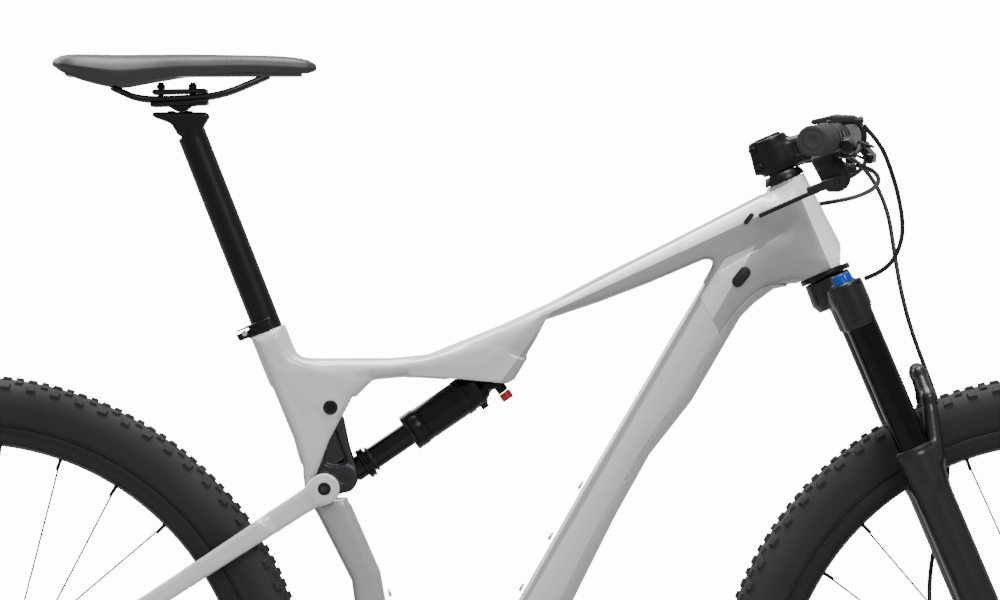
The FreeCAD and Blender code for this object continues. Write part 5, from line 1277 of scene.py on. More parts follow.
def pedal_field(side):
    centre = CRANK + AHEAD * (-side * 172)

    def field(p):
        middle = centre + ACROSS * side * 138
        body = box(p, middle, AHEAD, UP, (92, 96, 14), 4)
        windows = [box(p, middle + AHEAD * shift, AHEAD, UP, (27, 74, 30), 3) for shift in (-25, 25)]
        waist = [box(p, middle + AHEAD * shift, AHEAD, UP, (16, 60, 30), 3) for shift in (-52, 52)]
        cage = carved(body, 1.2, *(windows + waist))
        barrel_part = barrel(p, centre, ACROSS * side, 88, 180, 9, 2)
        spindle = turned_field(p, centre, ACROSS * side, [(58, 6.9), (77, 7.2), (78.5, 8), (90, 8)], 0.5)
        return joined_fields(2, cage, barrel_part, spindle)
    return field


def pedal_pins(side):
    middle = CRANK + AHEAD * (-side * 172) + ACROSS * side * 138
    pins = []
    for face in (-1, 1):
        for x, y in ((-42, -40), (-42, 40), (42, -40), (42, 40), (-42, 0), (42, 0), (0, 40)):
            foot = middle + vec(x * 0.95, y, face * 6.6)
            pins.append(turned([(0, 2.2), (1.2, 2.2), (1.2, 1.5), (1.9, 1.5), (1.9, 0)], foot, UP * face, 8,
                               False))
    return pins


def drivetrain():
    piece("cog_stack", cassette_parts(), "cassette", "Cog Steel", "steel", ["cassette"])
    piece("chain_links", chain_parts(), "swingarm", "Chain Steel", "steel", ["chain"], sharp=30)
    piece("front_sprocket", chainring_parts(), "crankset", "Black Alloy", "black_alloy", ["chainring"])
    moulded("cranks", crank_field, (-333, -74, 306), (43, 74, 354), 1.7, "crankset", "Black Alloy",
            "black_alloy", ["crank_arms"])
    for side, body in ((1, "pedal_left"), (-1, "pedal_right")):
        centre = CRANK + AHEAD * (-side * 172) + ACROSS * side * 122
        low = centre - vec(48, 66, 11)
        high = centre + vec(48, 66, 11)
        moulded(body + "_platform", pedal_field(side), low, high, 1.8, body, "Black Alloy", "black_alloy",
                [body], pedal_pins(side))


def derailleur():
    moulded("derailleur_knuckle", derailleur_housing_field, (-608, -100, 300), (-558, -83, 358), 1.1,
            "swingarm", "Black Alloy", "black_alloy", ["derailleur_housing"])
    moulded("derailleur_linkage", derailleur_body_field, (-598, -94, 220), (-544, -60, 302), 1.1,
            "derailleur_body", "Glossy Plastic", "black_alloy", ["derailleur_body"])
    run = unit(TENSION - GUIDE)
    square = quarter(run)
    length = float(np.linalg.norm(TENSION - GUIDE))
    cage_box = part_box("derailleur_cage")
    lows, highs = cage_box[0][1] / MM, cage_box[1][1] / MM
    plates = []
    outline = [(-15, 0), (-10, 11), (4, 12), (22, 7), (length - 22, 7), (length - 4, 12), (length + 10, 11),
               (length + 15, 0), (length + 10, -11), (length - 4, -12), (length - 22, -7), (22, -7), (4, -12),
               (-10, -11)]
    window = [(24, 2.6), (length - 24, 2.6), (length - 24, -2.6), (24, -2.6)]
    for low, high in ((lows, lows + 2), (highs - 2, highs)):
        loops = [eased(outline, 8), eased(window, 3), circle(3.1, 20), circle(3.1, 20, (length, 0))]
        plates.append(pressed(loops, 0.95, 0.25, GUIDE + ACROSS * (low + high) / 2, run, square))
    for centre in (GUIDE, TENSION):
        plates.append(turned([(lows + 0.2, 0), (lows + 0.2, 2.6), (highs - 0.2, 2.6), (highs - 0.2, 0)],
                             centre, ACROSS, 16, False))
        plates.append(bolt(centre + ACROSS * (lows + 0.5), -ACROSS, 3.6, 1.0))
    piece("cage_plates", plates, "derailleur_cage", "Black Alloy", "black_alloy", ["derailleur_cage"])
    for name, centre in (("guide_pulley", GUIDE), ("tension_pulley", TENSION)):
        low, high = (corner[1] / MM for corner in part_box(name))
        bore = 3.2
        loops = [toothed(12, 2.2, -2.6)]
        loops += [circle(2.6, 12, polar(13, math.pi / 3 * n)) for n in range(6)]
        loops.append(circle(bore, 20))
        middle = (low + high) / 2
        hub = [(low, bore), (low, 7), (high, 7), (high, bore)]
        piece(name + "_wheel", [pressed(loops, min(1.0, (high - low) / 2), 0.15, centre + ACROSS * middle),
                                turned(hub, centre, ACROSS, 24)],
              name, "Glossy Plastic", "black_alloy", [name])


def derailleur_housing_field(p):
    outline = [(-600, 352), (-570, 352), (-562, 330), (-566, 306), (-590, 306), (-602, 330)]
    knuckle = plate(p, eased(outline, 8), -98, -88, 3.5)
    boss = barrel(p, REAR_AXLE + vec(-4, 0, -24), ACROSS, -99, -85.2, 8.5, 1.5)
    screw = barrel(p, (-581, 0, 318), ACROSS, -98.6, -92, 4.4, 0.8)
    sockets = [barrel(p, REAR_AXLE + vec(-4, 0, -24), ACROSS, -104, -95, 3.6, 0.5),
               barrel(p, (-581, 0, 318), ACROSS, -104, -96.5, 2.2, 0.4)]
    return carved(joined_fields(2, knuckle, boss, screw), 0.5, *sockets)


def derailleur_body_field(p):
    outline = [(-592, 298), (-572, 298), (-546, 252), (-556, 240), (-574, 240)]
    links = plate(p, eased(outline, 6), -92, -72, 4)
    slot = plate(p, [(-584, 292), (-574, 292), (-556, 258), (-566, 252)], -88, -76, 2)
    knuckle = barrel(p, GUIDE, ACROSS, -92, -62.5, 13, 3)
    cap = barrel(p, GUIDE, ACROSS, -96, -90.8, 6, 1)
    return carved(smooth_min(links, knuckle, 4), 1, slot, cap)


# ---------------------------------------------------------------- brakes


def caliper_field(centre, along, out, low, high, rotor_y):
    def field(p):
        middle = vec(centre[0], (low + high) / 2, centre[2])
        width = high - low
        body = box(p, middle, along, out, (54, width - 0.6, 27), 6)
        bridge = box(p, middle + out * 15, along, out, (36, width - 1.5, 7), 3)
        pistons = barrel(p, middle, ACROSS, -width / 2, width / 2, 13.2, 2.2)
        windows = box(p, middle + out * 8, along, out, (20, 4.5, 40), 1.5)
        slot = box(p, vec(centre[0], rotor_y, centre[2]), along, out, (64, 3.0, 29.5), 0.4)
        ribs = [box(p, middle + along * shift + out * 15, along, out, (2.6, width + 4, 30), 0.6)
                for shift in (-16, 16)]
        whole = joined_fields(3, body, bridge, pistons)
        return carved(whole, 0.8, slot, windows, *ribs)
    return field


def brakes():
    back = unit(STEER_UP * 46 - STEER_AHEAD * 60)
    ahead = ray(math.radians(15))
    for name, body, axle, out, low, high, rotor_y in (
            ("front_caliper", "fork_lower", FRONT_AXLE, back, 31, 49.3, 39),
            ("rear_caliper", "swingarm", REAR_AXLE, ahead, 48, 64, 56.5)):
        centre = axle + out * 74
        along = quarter(out)
        spread = vec(36, 0, 36)
        moulded(name + "_body", caliper_field(centre, along, out, low, high, rotor_y),
                centre - spread + ACROSS * (low - 2), centre + spread + ACROSS * (high + 2), 0.9, body,
                "Glossy Plastic", "black_alloy", [name])
        fittings = []
        for shift in (-21, 21):
            foot = centre + along * shift + out * 13.2 + ACROSS * (low + high) / 2
            fittings.append(bolt(foot, out, 3.6, 3.4))
        piece(name + "_bolts", fittings, body, "Polished Bolt", "steel")


# ---------------------------------------------------------------- fork


def crown_field(p):
    steerer = barrel(p, HEAD_FOOT, STEER_UP, -30, 154, 14.3, 0.5)
    hub = turned_field(p, HEAD_FOOT, STEER_UP, [(-40, 21), (-30, 26), (-6.4, 25)], 2)
    parts = [hub]
    for side in (-1, 1):
        leg = steering(0, 12, side * 70)
        parts.append(turned_field(p, leg, STEER_UP, [(-68.5, 19.0), (-40, 19.5), (-19, 19.2)], 2.2))
        arm = box(p, steering(-31, 9, side * 35), STEER_AHEAD, STEER_UP, (32, 78, 21), 9)
        parts.append(arm)
    whole = joined_fields(9, *parts)
    hollow = box(p, steering(-46, 6), STEER_AHEAD, STEER_UP, (60, 74, 14), 6)
    return np.minimum(carved(whole, 1.0, hollow), steerer)


def lowers_field(p):
    parts = []
    bores = []
    for side in (-1, 1):
        leg = steering(0, 12, side * 70)
        parts.append(turned_field(p, leg, STEER_UP, [(-522, 13), (-512, 17), (-470, 20.5), (-262, 20.5),
                                                     (-250, 22), (-216, 22), (-211, 20)], 1.5))
        foot = smooth_min(rod(p, steering(-520, 22, side * 66), steering(-539, 43, side * 65), 12, 13),
                          rod(p, steering(-480, 16, side * 70), steering(-539, 43, side * 65), 14, 12), 6)
        foot = smooth_max(foot, np.abs(p[1] - side * 65) - 9.5, 2)
        parts.append(foot)
        start, corner = steering(-228, 30, side * 68), steering(-166, 48, side * 57)
        crown, middle = steering(-139, 50, side * 36), steering(-136, 50, 0)
        arch = joined_fields(5, rod(p, start, corner, 9.5, 7.5), rod(p, corner, crown, 7.5, 7),
                             rod(p, crown, middle, 7, 6.8))
        brace = rod(p, steering(-246, 22, side * 68), steering(-180, 44, side * 60), 7, 5)
        parts.append(joined_fields(6, arch, brace))
        bores.append(barrel(p, leg, STEER_UP, -480, -190, 17.3, 0.3))
        bores.append(barrel(p, FRONT_AXLE + ACROSS * side * 65, ACROSS, -40, 40, 6.1, 0.3))
    parts.append(box(p, steering(-486, -10, 56), STEER_AHEAD, STEER_UP, (20, 12, 66), 4))
    whole = joined_fields(7, *parts)
    tyre_space = barrel(p, FRONT_AXLE, ACROSS, -34, 34, 376, 6)
    return carved(whole, 0.8, *(bores + [tyre_space]))


def fork():
    moulded("crown_body", crown_field, (255, -94, 770), (375, 94, 1000), 1.9, "fork_upper", "Fork Top Paint",
            "fork_finish", ["fork_crown"])
    moulded("lower_legs", lowers_field, (395, -96, 334), (600, 96, 775), 1.7, "fork_lower", "Lower Leg Paint",
            "fork_finish", ["fork_lowers"])
    seals, shafts = [], []
    for side in (-1, 1):
        leg = steering(0, 12, side * 70)
        seal = [(-216, 17.1), (-216, 20.4), (-211, 21.2), (-207.9, 20.2), (-207.7, 18.5), (-207.8, 17.1)]
        seals.append(turned(eased(seal, 0.6), leg, STEER_UP))
        shafts.append(turned([(-360, 14), (-360, 16.6), (-359, 17), (-24.3, 17), (-24.3, 14)], leg, STEER_UP))
    piece("wiper_seals", seals, "fork_lower", "Seal Rubber", "rubber")
    piece("inner_legs", shafts, "fork_upper", "Smoked Stanchion", "stanchion_coat", ["stanchions"])
    leg = steering(0, 12, -70)
    dial = [(-18.7, 0), (-18.7, 11), (-11, 11), (-9.6, 10.2), (-9.0, 8), (-8.0, 7.4), (-8.0, 0)]
    piece("compression_dial", [fluted(dial, leg, STEER_UP, 9, 3, -18.2, -10)], "fork_dial", "Blue Anodising",
          "blue_dial", ["fork_dial"], clean=True)
    cap = [(-19.2, 0), (-19.2, 17), (-17.6, 17.4), (-14, 13), (-13.4, 0)]
    piece("air_cap", [turned(cap, steering(0, 12, 70), STEER_UP, 48, False)], "fork_upper", "Black Alloy",
          "black_alloy", clean=True)
    axle = [(-74, 0), (-74, 6), (74.8, 6), (74.8, 8), (75.4, 8.5), (76.5, 8.5), (77, 8), (77, 4), (75, 3.6),
            (75, 0)]
    piece("front_through_axle", [turned(axle, FRONT_AXLE, ACROSS, closed=False)], "fork_lower", "Black Alloy",
          "steel", ["front_axle"])


# ---------------------------------------------------------------- cockpit


def stem_field(p):
    base = steering(136)
    along = unit(BAR - base)
    up = quarter(along)
    clamp = barrel(p, HEAD_FOOT, STEER_UP, 117, 155, 19.5, 2.5)
    beam = box(p, base + along * 38, along, up, (72, 30, 30), 8)
    face = barrel(p, BAR, ACROSS, -24, 24, 23, 3)
    lug = box(p, base - along * 19, along, STEER_UP, (12, 22, 34), 3)
    whole = joined_fields(6, clamp, beam, face, lug)
    split = box(p, BAR + along * 9.0, along, up, (1.2, 60, 60), 0.2)
    slit = box(p, base - along * 22, along, STEER_UP, (26, 1.6, 44), 0.2)
    waist = [box(p, base + along * 36 + ACROSS * side * 17.5, along, up, (30, 6, 16), 2.5)
             for side in (-1, 1)]
    window = box(p, BAR + along * 22, along, up, (20, 12, 14), 4)
    return carved(whole, 0.7, barrel(p, HEAD_FOOT, STEER_UP, 90, 180, 14.4, 0.3),
                  barrel(p, BAR, ACROSS, -40, 40, 16.0, 0.3), split, slit, window, *waist)


def lever_frame(side):
    """A brake lever's outward direction, pin direction and pivot."""
    outward = bar_direction(side)
    up = unit(np.cross(outward, LEVER_AHEAD))
    up = up if up[2] > 0 else -up
    return outward, up, bar_point(206, side) + LEVER_AHEAD * 41


def brake_body_field(side):
    outward, up, pivot = lever_frame(side)
    seat = bar_point(204, side)

    def field(p):
        clamp = barrel(p, seat, outward, -7, 7, 16, 2)
        start = seat + LEVER_AHEAD * 23 - outward * 8
        cylinder = turned_field(p, start, outward, [(-14, 5.5), (-8, 8.6), (6, 9), (36, 9), (44, 7.5)], 2)
        bridge = box(p, seat + LEVER_AHEAD * 18.5, LEVER_AHEAD, up, (12, 13, 12), 3)
        reservoir = rod(p, start + outward * 2 + up * 4, start + outward * 30 + up * 3.4, 7.6, 6.4)
        ears = [box(p, pivot + up * level - LEVER_AHEAD * 4, LEVER_AHEAD, up, (20, 13, 2.6), 1.2)
                for level in (-7.3, 7.3)]
        whole = joined_fields(3, clamp, bridge, cylinder, reservoir)
        whole = joined_fields(1.2, whole, *ears)
        split = box(p, seat - LEVER_AHEAD * 1, LEVER_AHEAD, up, (1.0, 40, 40), 0.2)
        return carved(whole, 0.5, barrel(p, seat, outward, -20, 20, 11.2, 0.3),
                      np.maximum(split, barrel(p, seat, outward, -20, 20, 18)))
    return field


def lever_field(side):
    outward, up, pivot = lever_frame(side)

    def field(p):
        stations = [(-2, 0, 5.6, 0, 5.2), (16, 1.5, 4.4, 0, 5.2), (60, 7.0, 3.8, 0, 4.8),
                    (98, 2.2, 3.6, 0, 5.0), (108, 1.2, 4.0, 0, 5.3)]
        blade = ribbon(p, pivot, outward, LEVER_AHEAD, stations, 2.8)
        holes = [barrel(p, pivot + outward * reach + LEVER_AHEAD * ahead, up, -12, 12, 2.4, 0.3)
                 for reach, ahead in ((42, 4.9), (52, 6.1), (62, 6.6))]
        return carved(blade, 0.6, barrel(p, pivot, up, -14, 14, 2.6, 0.3), *holes)
    return field


def brake_levers():
    bodies, extras = [], []
    for side, label in ((1, "left"), (-1, "right")):
        outward, up, pivot = lever_frame(side)
        seat = bar_point(204, side)
        ends = np.array([seat - LEVER_AHEAD * 20 - outward * 26, seat + LEVER_AHEAD * 54 + outward * 46])
        low, high = ends.min(0) - 16, ends.max(0) + 16
        bodies.append(net(brake_body_field(side), low, high, 0.95))
        start = seat + LEVER_AHEAD * 23 - outward * 8
        extras.append(pin(8.6, 2.5, pivot, up, 20))
        extras.append(turned([(-22, 0), (-22, 3.2), (-20, 3.8), (-14, 3.8), (-12, 4.6), (-10, 4.6), (-10, 0)],
                             start, outward, 12, False))
        extras.append(bolt(seat + up * 15.2 - LEVER_AHEAD * 6, up, 3.2, 2.6))
        tip = np.array([pivot - outward * 10 - LEVER_AHEAD * 8, pivot + outward * 114 + LEVER_AHEAD * 14])
        moulded("brake_blade_" + label, lever_field(side), tip.min(0) - 9, tip.max(0) + 9, 0.95,
                "brake_lever_" + label, "Black Alloy", "black_alloy", ["brake_lever_" + label])
    piece("master_cylinders", bodies + extras, "fork_upper", "Glossy Plastic", "black_alloy",
          ["brake_bodies"], sharp=50)


SHIFT_SEAT = bar_point(166, -1)
REMOTE_SEAT = bar_point(140, -1)
SHIFT_PIVOT = SHIFT_SEAT + vec(2, -14, -46)
REMOTE_PIVOT = REMOTE_SEAT + vec(8, 6, 19)


def controls_field(p):
    direction = bar_direction(-1)
    clamp = barrel(p, SHIFT_SEAT, direction, -6, 6, 15, 1.5)
    lean = unit(vec(-0.55, 0, 1))
    housing = box(p, SHIFT_SEAT + vec(-4, 0, -34), -quarter(lean), lean, (27, 26, 44), 7)
    belly = barrel(p, SHIFT_SEAT + vec(2, 0, -42), ACROSS, -13, 13, 15, 4)
    neck = box(p, SHIFT_SEAT + vec(0, 0, -15.5), AHEAD, UP, (12, 11, 9), 2)
    adjuster = turned_field(p, SHIFT_SEAT + vec(12, 4, -32), AHEAD, [(0, 6), (6, 5.6), (12, 4.2)], 1)
    ridge = box(p, SHIFT_SEAT + vec(-3, -11, -33), -quarter(lean), lean, (30, 5, 12), 2)
    shifter = joined_fields(3, housing, belly, clamp, neck, adjuster, ridge)
    remote_clamp = barrel(p, REMOTE_SEAT, direction, -6, 6, 15, 1.5)
    remote = box(p, REMOTE_SEAT + vec(6, 0, 19), AHEAD, UP, (28, 11, 10), 3)
    barrel_end = turned_field(p, REMOTE_SEAT + vec(18, -2, 18), AHEAD, [(0, 4), (10, 3.4)], 0.8)
    whole = np.minimum(shifter, joined_fields(2, remote_clamp, remote, barrel_end))
    return carved(whole, 0.5, barrel(p, SHIFT_SEAT, direction, -60, 60, 11.5, 0.3))


def thumb_field(p):
    stations = [(4, 0, 6, 0, 3), (-10, -3, 5.2, 0, 3), (-26, -9, 4.2, 0, 3)]
    blade = ribbon(p, SHIFT_PIVOT + vec(0, -3, 0), AHEAD, UP, stations, 1.8)
    pad = box(p, SHIFT_PIVOT + vec(-25, -3, -9), unit(vec(1, 0, 0.3)), unit(vec(-0.3, 0, 1)), (12, 6, 9), 2)
    return carved(smooth_min(blade, pad, 2), 0.4, barrel(p, SHIFT_PIVOT, ACROSS, -9, 9, 2.6, 0.2))


def remote_blade_field(p):
    stations = [(2, 0, 5.4, 0, 2.9), (-8, 1, 4.8, 0, 2.9), (-32, -2.4, 2.8, 0, 2.9)]
    blade = ribbon(p, REMOTE_PIVOT + vec(0, 3.4, 0), AHEAD, UP, stations, 1.5)
    return carved(blade, 0.4, barrel(p, REMOTE_PIVOT, ACROSS, -9, 9, 2.6, 0.2))


def cockpit():
    moulded("stem_body", stem_field, (240, -28, 945), (384, 28, 1022), 1.1, "fork_upper", "Black Alloy",
            "black_alloy", ["stem"])
    base = steering(136)
    along = unit(BAR - base)
    up = quarter(along)
    screws = []
    for height in (126, 146):
        behind = steering(height) - along * 20.5
        screws.append(bolt(behind - ACROSS * 10.8, -ACROSS, 3.8, 3.6))
        screws.append(bolt(behind + ACROSS * 10.8, ACROSS, 3.8, 2.6, False))
    for side in (-1, 1):
        for level in (-1, 1):
            foot = BAR + ACROSS * side * 17 + along * 18.5 + up * (level * 14)
            screws.append(bolt(foot, along, 3.5, 4.6))
    piece("stem_screws", screws, "fork_upper", "Black Alloy", "steel", ["stem_bolts"])
    cap = [(154, 0), (154, 15), (155.4, 15.2), (157, 14.4), (157.6, 12.6), (157.0, 5), (156, 4.6), (156, 0)]
    piece("top_cap", [turned(cap, HEAD_FOOT, STEER_UP, 48, False)], "fork_upper", "Black Alloy",
          "black_alloy", clean=True)
    marks = [-366, -120, -80, -47, -44, 44, 47, 80, 120, 366]
    points = [bar_point(abs(mark), math.copysign(1, mark)) for mark in marks]
    radii = [11.1, 11.1, 12.2, 15.6, 15.9, 15.9, 15.6, 12.2, 11.1, 11.1]
    piece("bar_tube", [swept(points, radii, 40)], "fork_upper", "Black Alloy", "black_alloy", ["handlebar"])
    rubber, rings = [], []
    for side in (-1, 1):
        start, end = bar_point(BAR_HALF - 128, side), bar_point(BAR_HALF, side)
        long = float(np.linalg.norm(end - start))
        profile = [(12.5, 11.2), (12.5, 15.8), (14, 16.0)]
        step = 16.5
        while step < long - 7:
            profile += [(step, 16.2), (step + 1.5, 16.2), (step + 1.9, 15.3), (step + 2.7, 15.3)]
            step += 3.1
        profile += [(long - 3.2, 16.2), (long - 1, 15.4), (long - 0.2, 13.6), (long - 0.5, 11.0),
                    (long - 0.8, 10.6), (long - 0.4, 10.0), (long - 0.4, 5.2),
                    (long - 0.8, 4.6), (long - 0.8, 0),
                    (long - 3.8, 0), (long - 3.8, 11.2)]
        rubber.append(turned(profile, start, end - start, 64))
        ring = [(0, 11.2), (0, 16.2), (0.8, 17), (11.2, 17), (12, 16.2), (12, 11.2)]
        rings.append(turned(eased(ring, 0.4), start, end - start, 48))
    piece("grip_sleeves", rubber, "fork_upper", "Grip Rubber", "rubber", ["grips"], clean=True)
    piece("grip_rings", rings, "fork_upper", "Black Alloy", "black_alloy")
    pins = [turned([(-2, 0), (-2, 2.5), (7, 2.5), (7, 0)], pivot, out, 16, False)
            for pivot, out in ((SHIFT_PIVOT, -ACROSS), (REMOTE_PIVOT, ACROSS))]
    moulded("shift_and_remote", controls_field, (310, -186, 934), (386, -128, 1022), 1.0, "fork_upper",
            "Moulded Plastic", "black_plastic", ["control_bodies"], pins)
    moulded("thumb_paddle", thumb_field, SHIFT_PIVOT - vec(54, 8, 22), SHIFT_PIVOT + vec(14, 4, 12), 0.8,
            "shift_lever", "Moulded Plastic", "black_plastic", ["shift_lever"])
    moulded("remote_paddle", remote_blade_field, REMOTE_PIVOT - vec(40, 2, 10),
            REMOTE_PIVOT + vec(12, 9, 10), 0.8,
            "remote_lever", "Moulded Plastic", "black_plastic", ["remote_lever"])


FRONT_HOSE = [
    (0.3546, 0.1806, 0.9816), (0.359, 0.161, 0.979), (0.377, 0.151, 0.968), (0.395, 0.143, 0.944),
    (0.407, 0.134, 0.913), (0.412, 0.123, 0.877), (0.418, 0.111, 0.836), (0.428, 0.103, 0.793),
    (0.443, 0.099, 0.751), (0.459, 0.098, 0.708), (0.470, 0.097, 0.663), (0.469, 0.096, 0.618),
    (0.459, 0.095, 0.573), (0.450, 0.090, 0.529), (0.448, 0.078, 0.487), (0.462, 0.060, 0.456),
    (0.486, 0.046, 0.441)]
LOCKOUT_CABLE = [
    (0.368, -0.143, 1.003), (0.386, -0.137, 0.985), (0.398, -0.128, 0.956), (0.408, -0.118, 0.922),
    (0.412, -0.107, 0.888), (0.403, -0.095, 0.862), (0.388, -0.086, 0.848), (0.372, -0.080, 0.842)]
REAR_HOSE = [
    (0.3546, -0.1806, 0.9816), (0.360, -0.161, 0.980), (0.371, -0.143, 0.973), (0.370, -0.118, 0.959),
    (0.352, -0.093, 0.947), (0.323, -0.069, 0.936), (0.291, -0.048, 0.922), (0.262, -0.034, 0.909)]
SHIFT_HOUSING = [
    (0.361, -0.153, 0.961), (0.375, -0.138, 0.958), (0.385, -0.116, 0.950), (0.386, -0.089, 0.942),
    (0.380, -0.059, 0.936), (0.372, -0.027, 0.932), (0.364, 0.004, 0.929), (0.350, 0.032, 0.926),
    (0.326, 0.048, 0.922), (0.294, 0.046, 0.916), (0.262, 0.034, 0.908)]


def hose_mesh(name, routes):
    """Round hoses along smooth lines, as one mesh."""
    curve = bpy.data.curves.new(name, "CURVE")
    curve.dimensions = "3D"
    curve.bevel_depth = bpy.context.scene.bike_sizes.hose_diameter / 2
    curve.bevel_resolution = 3
    curve.use_fill_caps = True
    curve.resolution_u = 6
    for route in routes:
        spline = curve.splines.new("NURBS")
        spline.points.add(len(route) - 1)
        for point, place in zip(spline.points, route):
            point.co = (*place, 1)
        spline.order_u = 3
        spline.use_endpoint_u = True
    mesh = mesh_of(curve)
    mesh.name = name
    mesh.shade_smooth()
    thing = bpy.data.objects.new(name, mesh)
    bpy.context.scene.collection.objects.link(thing)
    mesh.materials.append(material("Hose Jacket"))
    return thing


def hoses():
    front = hose_mesh("front_brake_line", [FRONT_HOSE])
    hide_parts("front_brake_hose")
    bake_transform(front)
    into_frame = hose_mesh("frame_lines", [REAR_HOSE, SHIFT_HOUSING])
    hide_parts("frame_hoses")
    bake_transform(into_frame)
    lockout = hose_mesh("lockout_line", [LOCKOUT_CABLE])
    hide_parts("lockout_cable")
    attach(lockout, "fork_upper")


# ---------------------------------------------------------------- seat

SADDLE_STATIONS = [
    (-492, 40, 1078.5, 1074, 1068), (-478, 62, 1082, 1075, 1060), (-455, 70, 1082, 1074, 1052.5),
    (-423, 72, 1081.2, 1072, 1046), (-388, 62, 1081.6, 1072, 1052.5), (-348, 42, 1082.2, 1073, 1058.5),
    (-289, 23, 1081.8, 1073, 1062.5), (-250, 20, 1080.4, 1071, 1062), (-226, 18, 1078, 1070, 1061.6),
    (-211, 12, 1073.5, 1068, 1062)]
SADDLE_BELLY = 1062


def saddle_profile(x):
    """Half width, top, edge height and underside of the saddle at a place along it."""
    places, *columns = zip(*SADDLE_STATIONS)
    return [float(np.interp(x, places, column)) for column in columns]


def smoothed_profile(x):
    """The saddle's sizes at x, averaged over its neighbourhood so that its outline is one curve."""
    low, high = SADDLE_STATIONS[0][0], SADDLE_STATIONS[-1][0]
    return np.mean([saddle_profile(min(max(x + shift, low), high)) for shift in (-10, -5, 0, 5, 10)], 0)


def saddle_section(x):
    """One closed section of the saddle pad, crowned and rolled under at its edges."""
    half, top, edge, under = smoothed_profile(x)
    loop = []
    for n in range(29):
        t = -1 + n / 14
        y = half * math.sin(t * math.pi / 2)
        share = abs(y) / half
        crown = top - (top - edge) * share ** 2.6 * 0.75
        roll = (edge - under) * 0.45 * max(0.0, (share - 0.82) / 0.18) ** 2
        channel = 2.6 * math.exp(-(y / 6.5) ** 2) * math.exp(-((x + 355) / 75) ** 4)
        loop.append((y, crown - roll - channel))
    flank = []
    for n in range(1, 8):
        t = n / 8
        middle = (edge + under) / 2
        flank.append((half * (1 - 0.10 * math.sin(t * math.pi / 2)), middle + (under - middle) * t))
    arch = max(SADDLE_BELLY - under, 0)
    shares = (1, 0.9, 0.75, 0.4, 0, -0.4, -0.75, -0.9, -1)
    bottom = [(half * 0.9 * t, under + arch * (1 - abs(t) ** 4)) for t in shares]
    return loop + flank + bottom + [(-y, z) for y, z in reversed(flank)]


def saddle_pad():
    low, high = SADDLE_STATIONS[0][0], SADDLE_STATIONS[-1][0]
    verts = []
    places = [low + (high - low) * 0.5 * (1 - math.cos(math.pi * n / 60)) for n in range(61)]
    for x in places:
        pinch = min(1.0, math.sqrt(max(min(x - low, high - x), 0.15) / 9))
        section = saddle_section(x)
        middle = np.mean([z for _, z in section])
        for y, z in section:
            verts.append((x, y * (0.55 + 0.45 * pinch), middle + (z - middle) * (0.35 + 0.65 * pinch)))
    faces = woven(len(places), len(section))
    pad = piece("saddle_cushion", [(np.array(verts), faces)], "saddle", "Saddle Cover", "saddle_cover",
                ["saddle_pad"], sharp=60, clean=True)


def saddle_shell_field(p):
    """The moulded base under the pad."""
    x, y, z = p
    places, halves = list(zip(*SADDLE_STATIONS))[:2]
    half = np.interp(x, places, halves) * 0.66
    slab = np.maximum(np.abs(y) - half, np.maximum(z - SADDLE_BELLY - 1, SADDLE_BELLY - 4 - z))
    return smooth_max(slab, np.abs(x + 352) - 126, 2)


def saddle_clamp_field(p):
    lower = plate(p, eased([(-388, 1025.5), (-326, 1027.5), (-326, 1034), (-388, 1030)], 3), -27, 27, 2)
    keel = np.maximum(barrel(p, (-356, 0, 1035), ACROSS, -14, 14, 14.5, 1.5), p[2] - 1030)
    upper = plate(p, eased([(-386, 1038.5), (-327, 1040.5), (-327, 1045), (-386, 1044)], 3), -27, 27, 1.8)
    posts = [barrel(p, (x, 0, 1026), UP, 0, 26, 3.2, 0.5) for x in (-377, -343)]
    grooves = [barrel(p, (-361.5, side * 22, 1034.4), vec(73, 0, 3.5), -60, 60, 3.7, 0.3) for side in (-1, 1)]
    return carved(np.minimum(joined_fields(1.5, smooth_min(lower, keel, 3), upper),
                             joined_fields(1, *posts)), 0.5,
                  *grooves)


def post_field(p):
    post = barrel(p, POST_POINT, POST_UP, -126, 190, 15.45, 0.8)
    outline = [(-358, 994), (-334, 1000), (-328, 1010), (-324, 1016), (-328, 1020.2), (-386, 1020.2),
               (-386, 1015), (-366, 1008)]
    head = plate(p, eased(outline, 4), -15, 15, 4)
    whole = smooth_min(post, head, 6)
    pivot = (-356, 0, 1035)
    cradle = np.maximum(barrel(p, pivot, ACROSS, -13, 13, 19.5, 1), p[2] - 1021.5)
    cradle = np.maximum(cradle, -barrel(p, pivot, ACROSS, -30, 30, 15.2))
    return np.minimum(cradle, carved(whole, 0.4, cradle, barrel(p, POST_POINT, POST_UP, -140, 150, 12.5)))


def seat():
    moulded("post_tube", post_field, (-390, -18, 698), (-222, 18, 1022), 1.4, "seatpost", "Black Alloy",
            "black_alloy", ["seatpost"])
    nuts = [bolt(vec(x, 0, 1045), UP, 4.6, 5) for x in (-377, -343)]
    moulded("rail_clamp", saddle_clamp_field, (-392, -29, 1018), (-322, 29, 1053), 0.9, "saddle",
            "Black Alloy", "black_alloy", ["saddle_clamp"], nuts)
    rails = []
    for side in (-1, 1):
        points = [(-428, side * 34, 1046), (-398, side * 22, 1032.5), (-315, side * 22, 1036.5),
                  (-262, side * 9, 1059)]
        path = eased(points, 26, closed=False, steps=9)
        rails.append(swept(path, [3.5] * len(path), 20))
    piece("rail_pair", rails, "saddle", "Black Alloy", "steel", ["saddle_rails"])
    moulded("saddle_shell", saddle_shell_field, (-480, -70, 1040), (-224, 70, 1070), 1.4, "saddle",
            "Saddle Base", "black_plastic", ["saddle_base"])
    saddle_pad()


# ---------------------------------------------------------------- stage


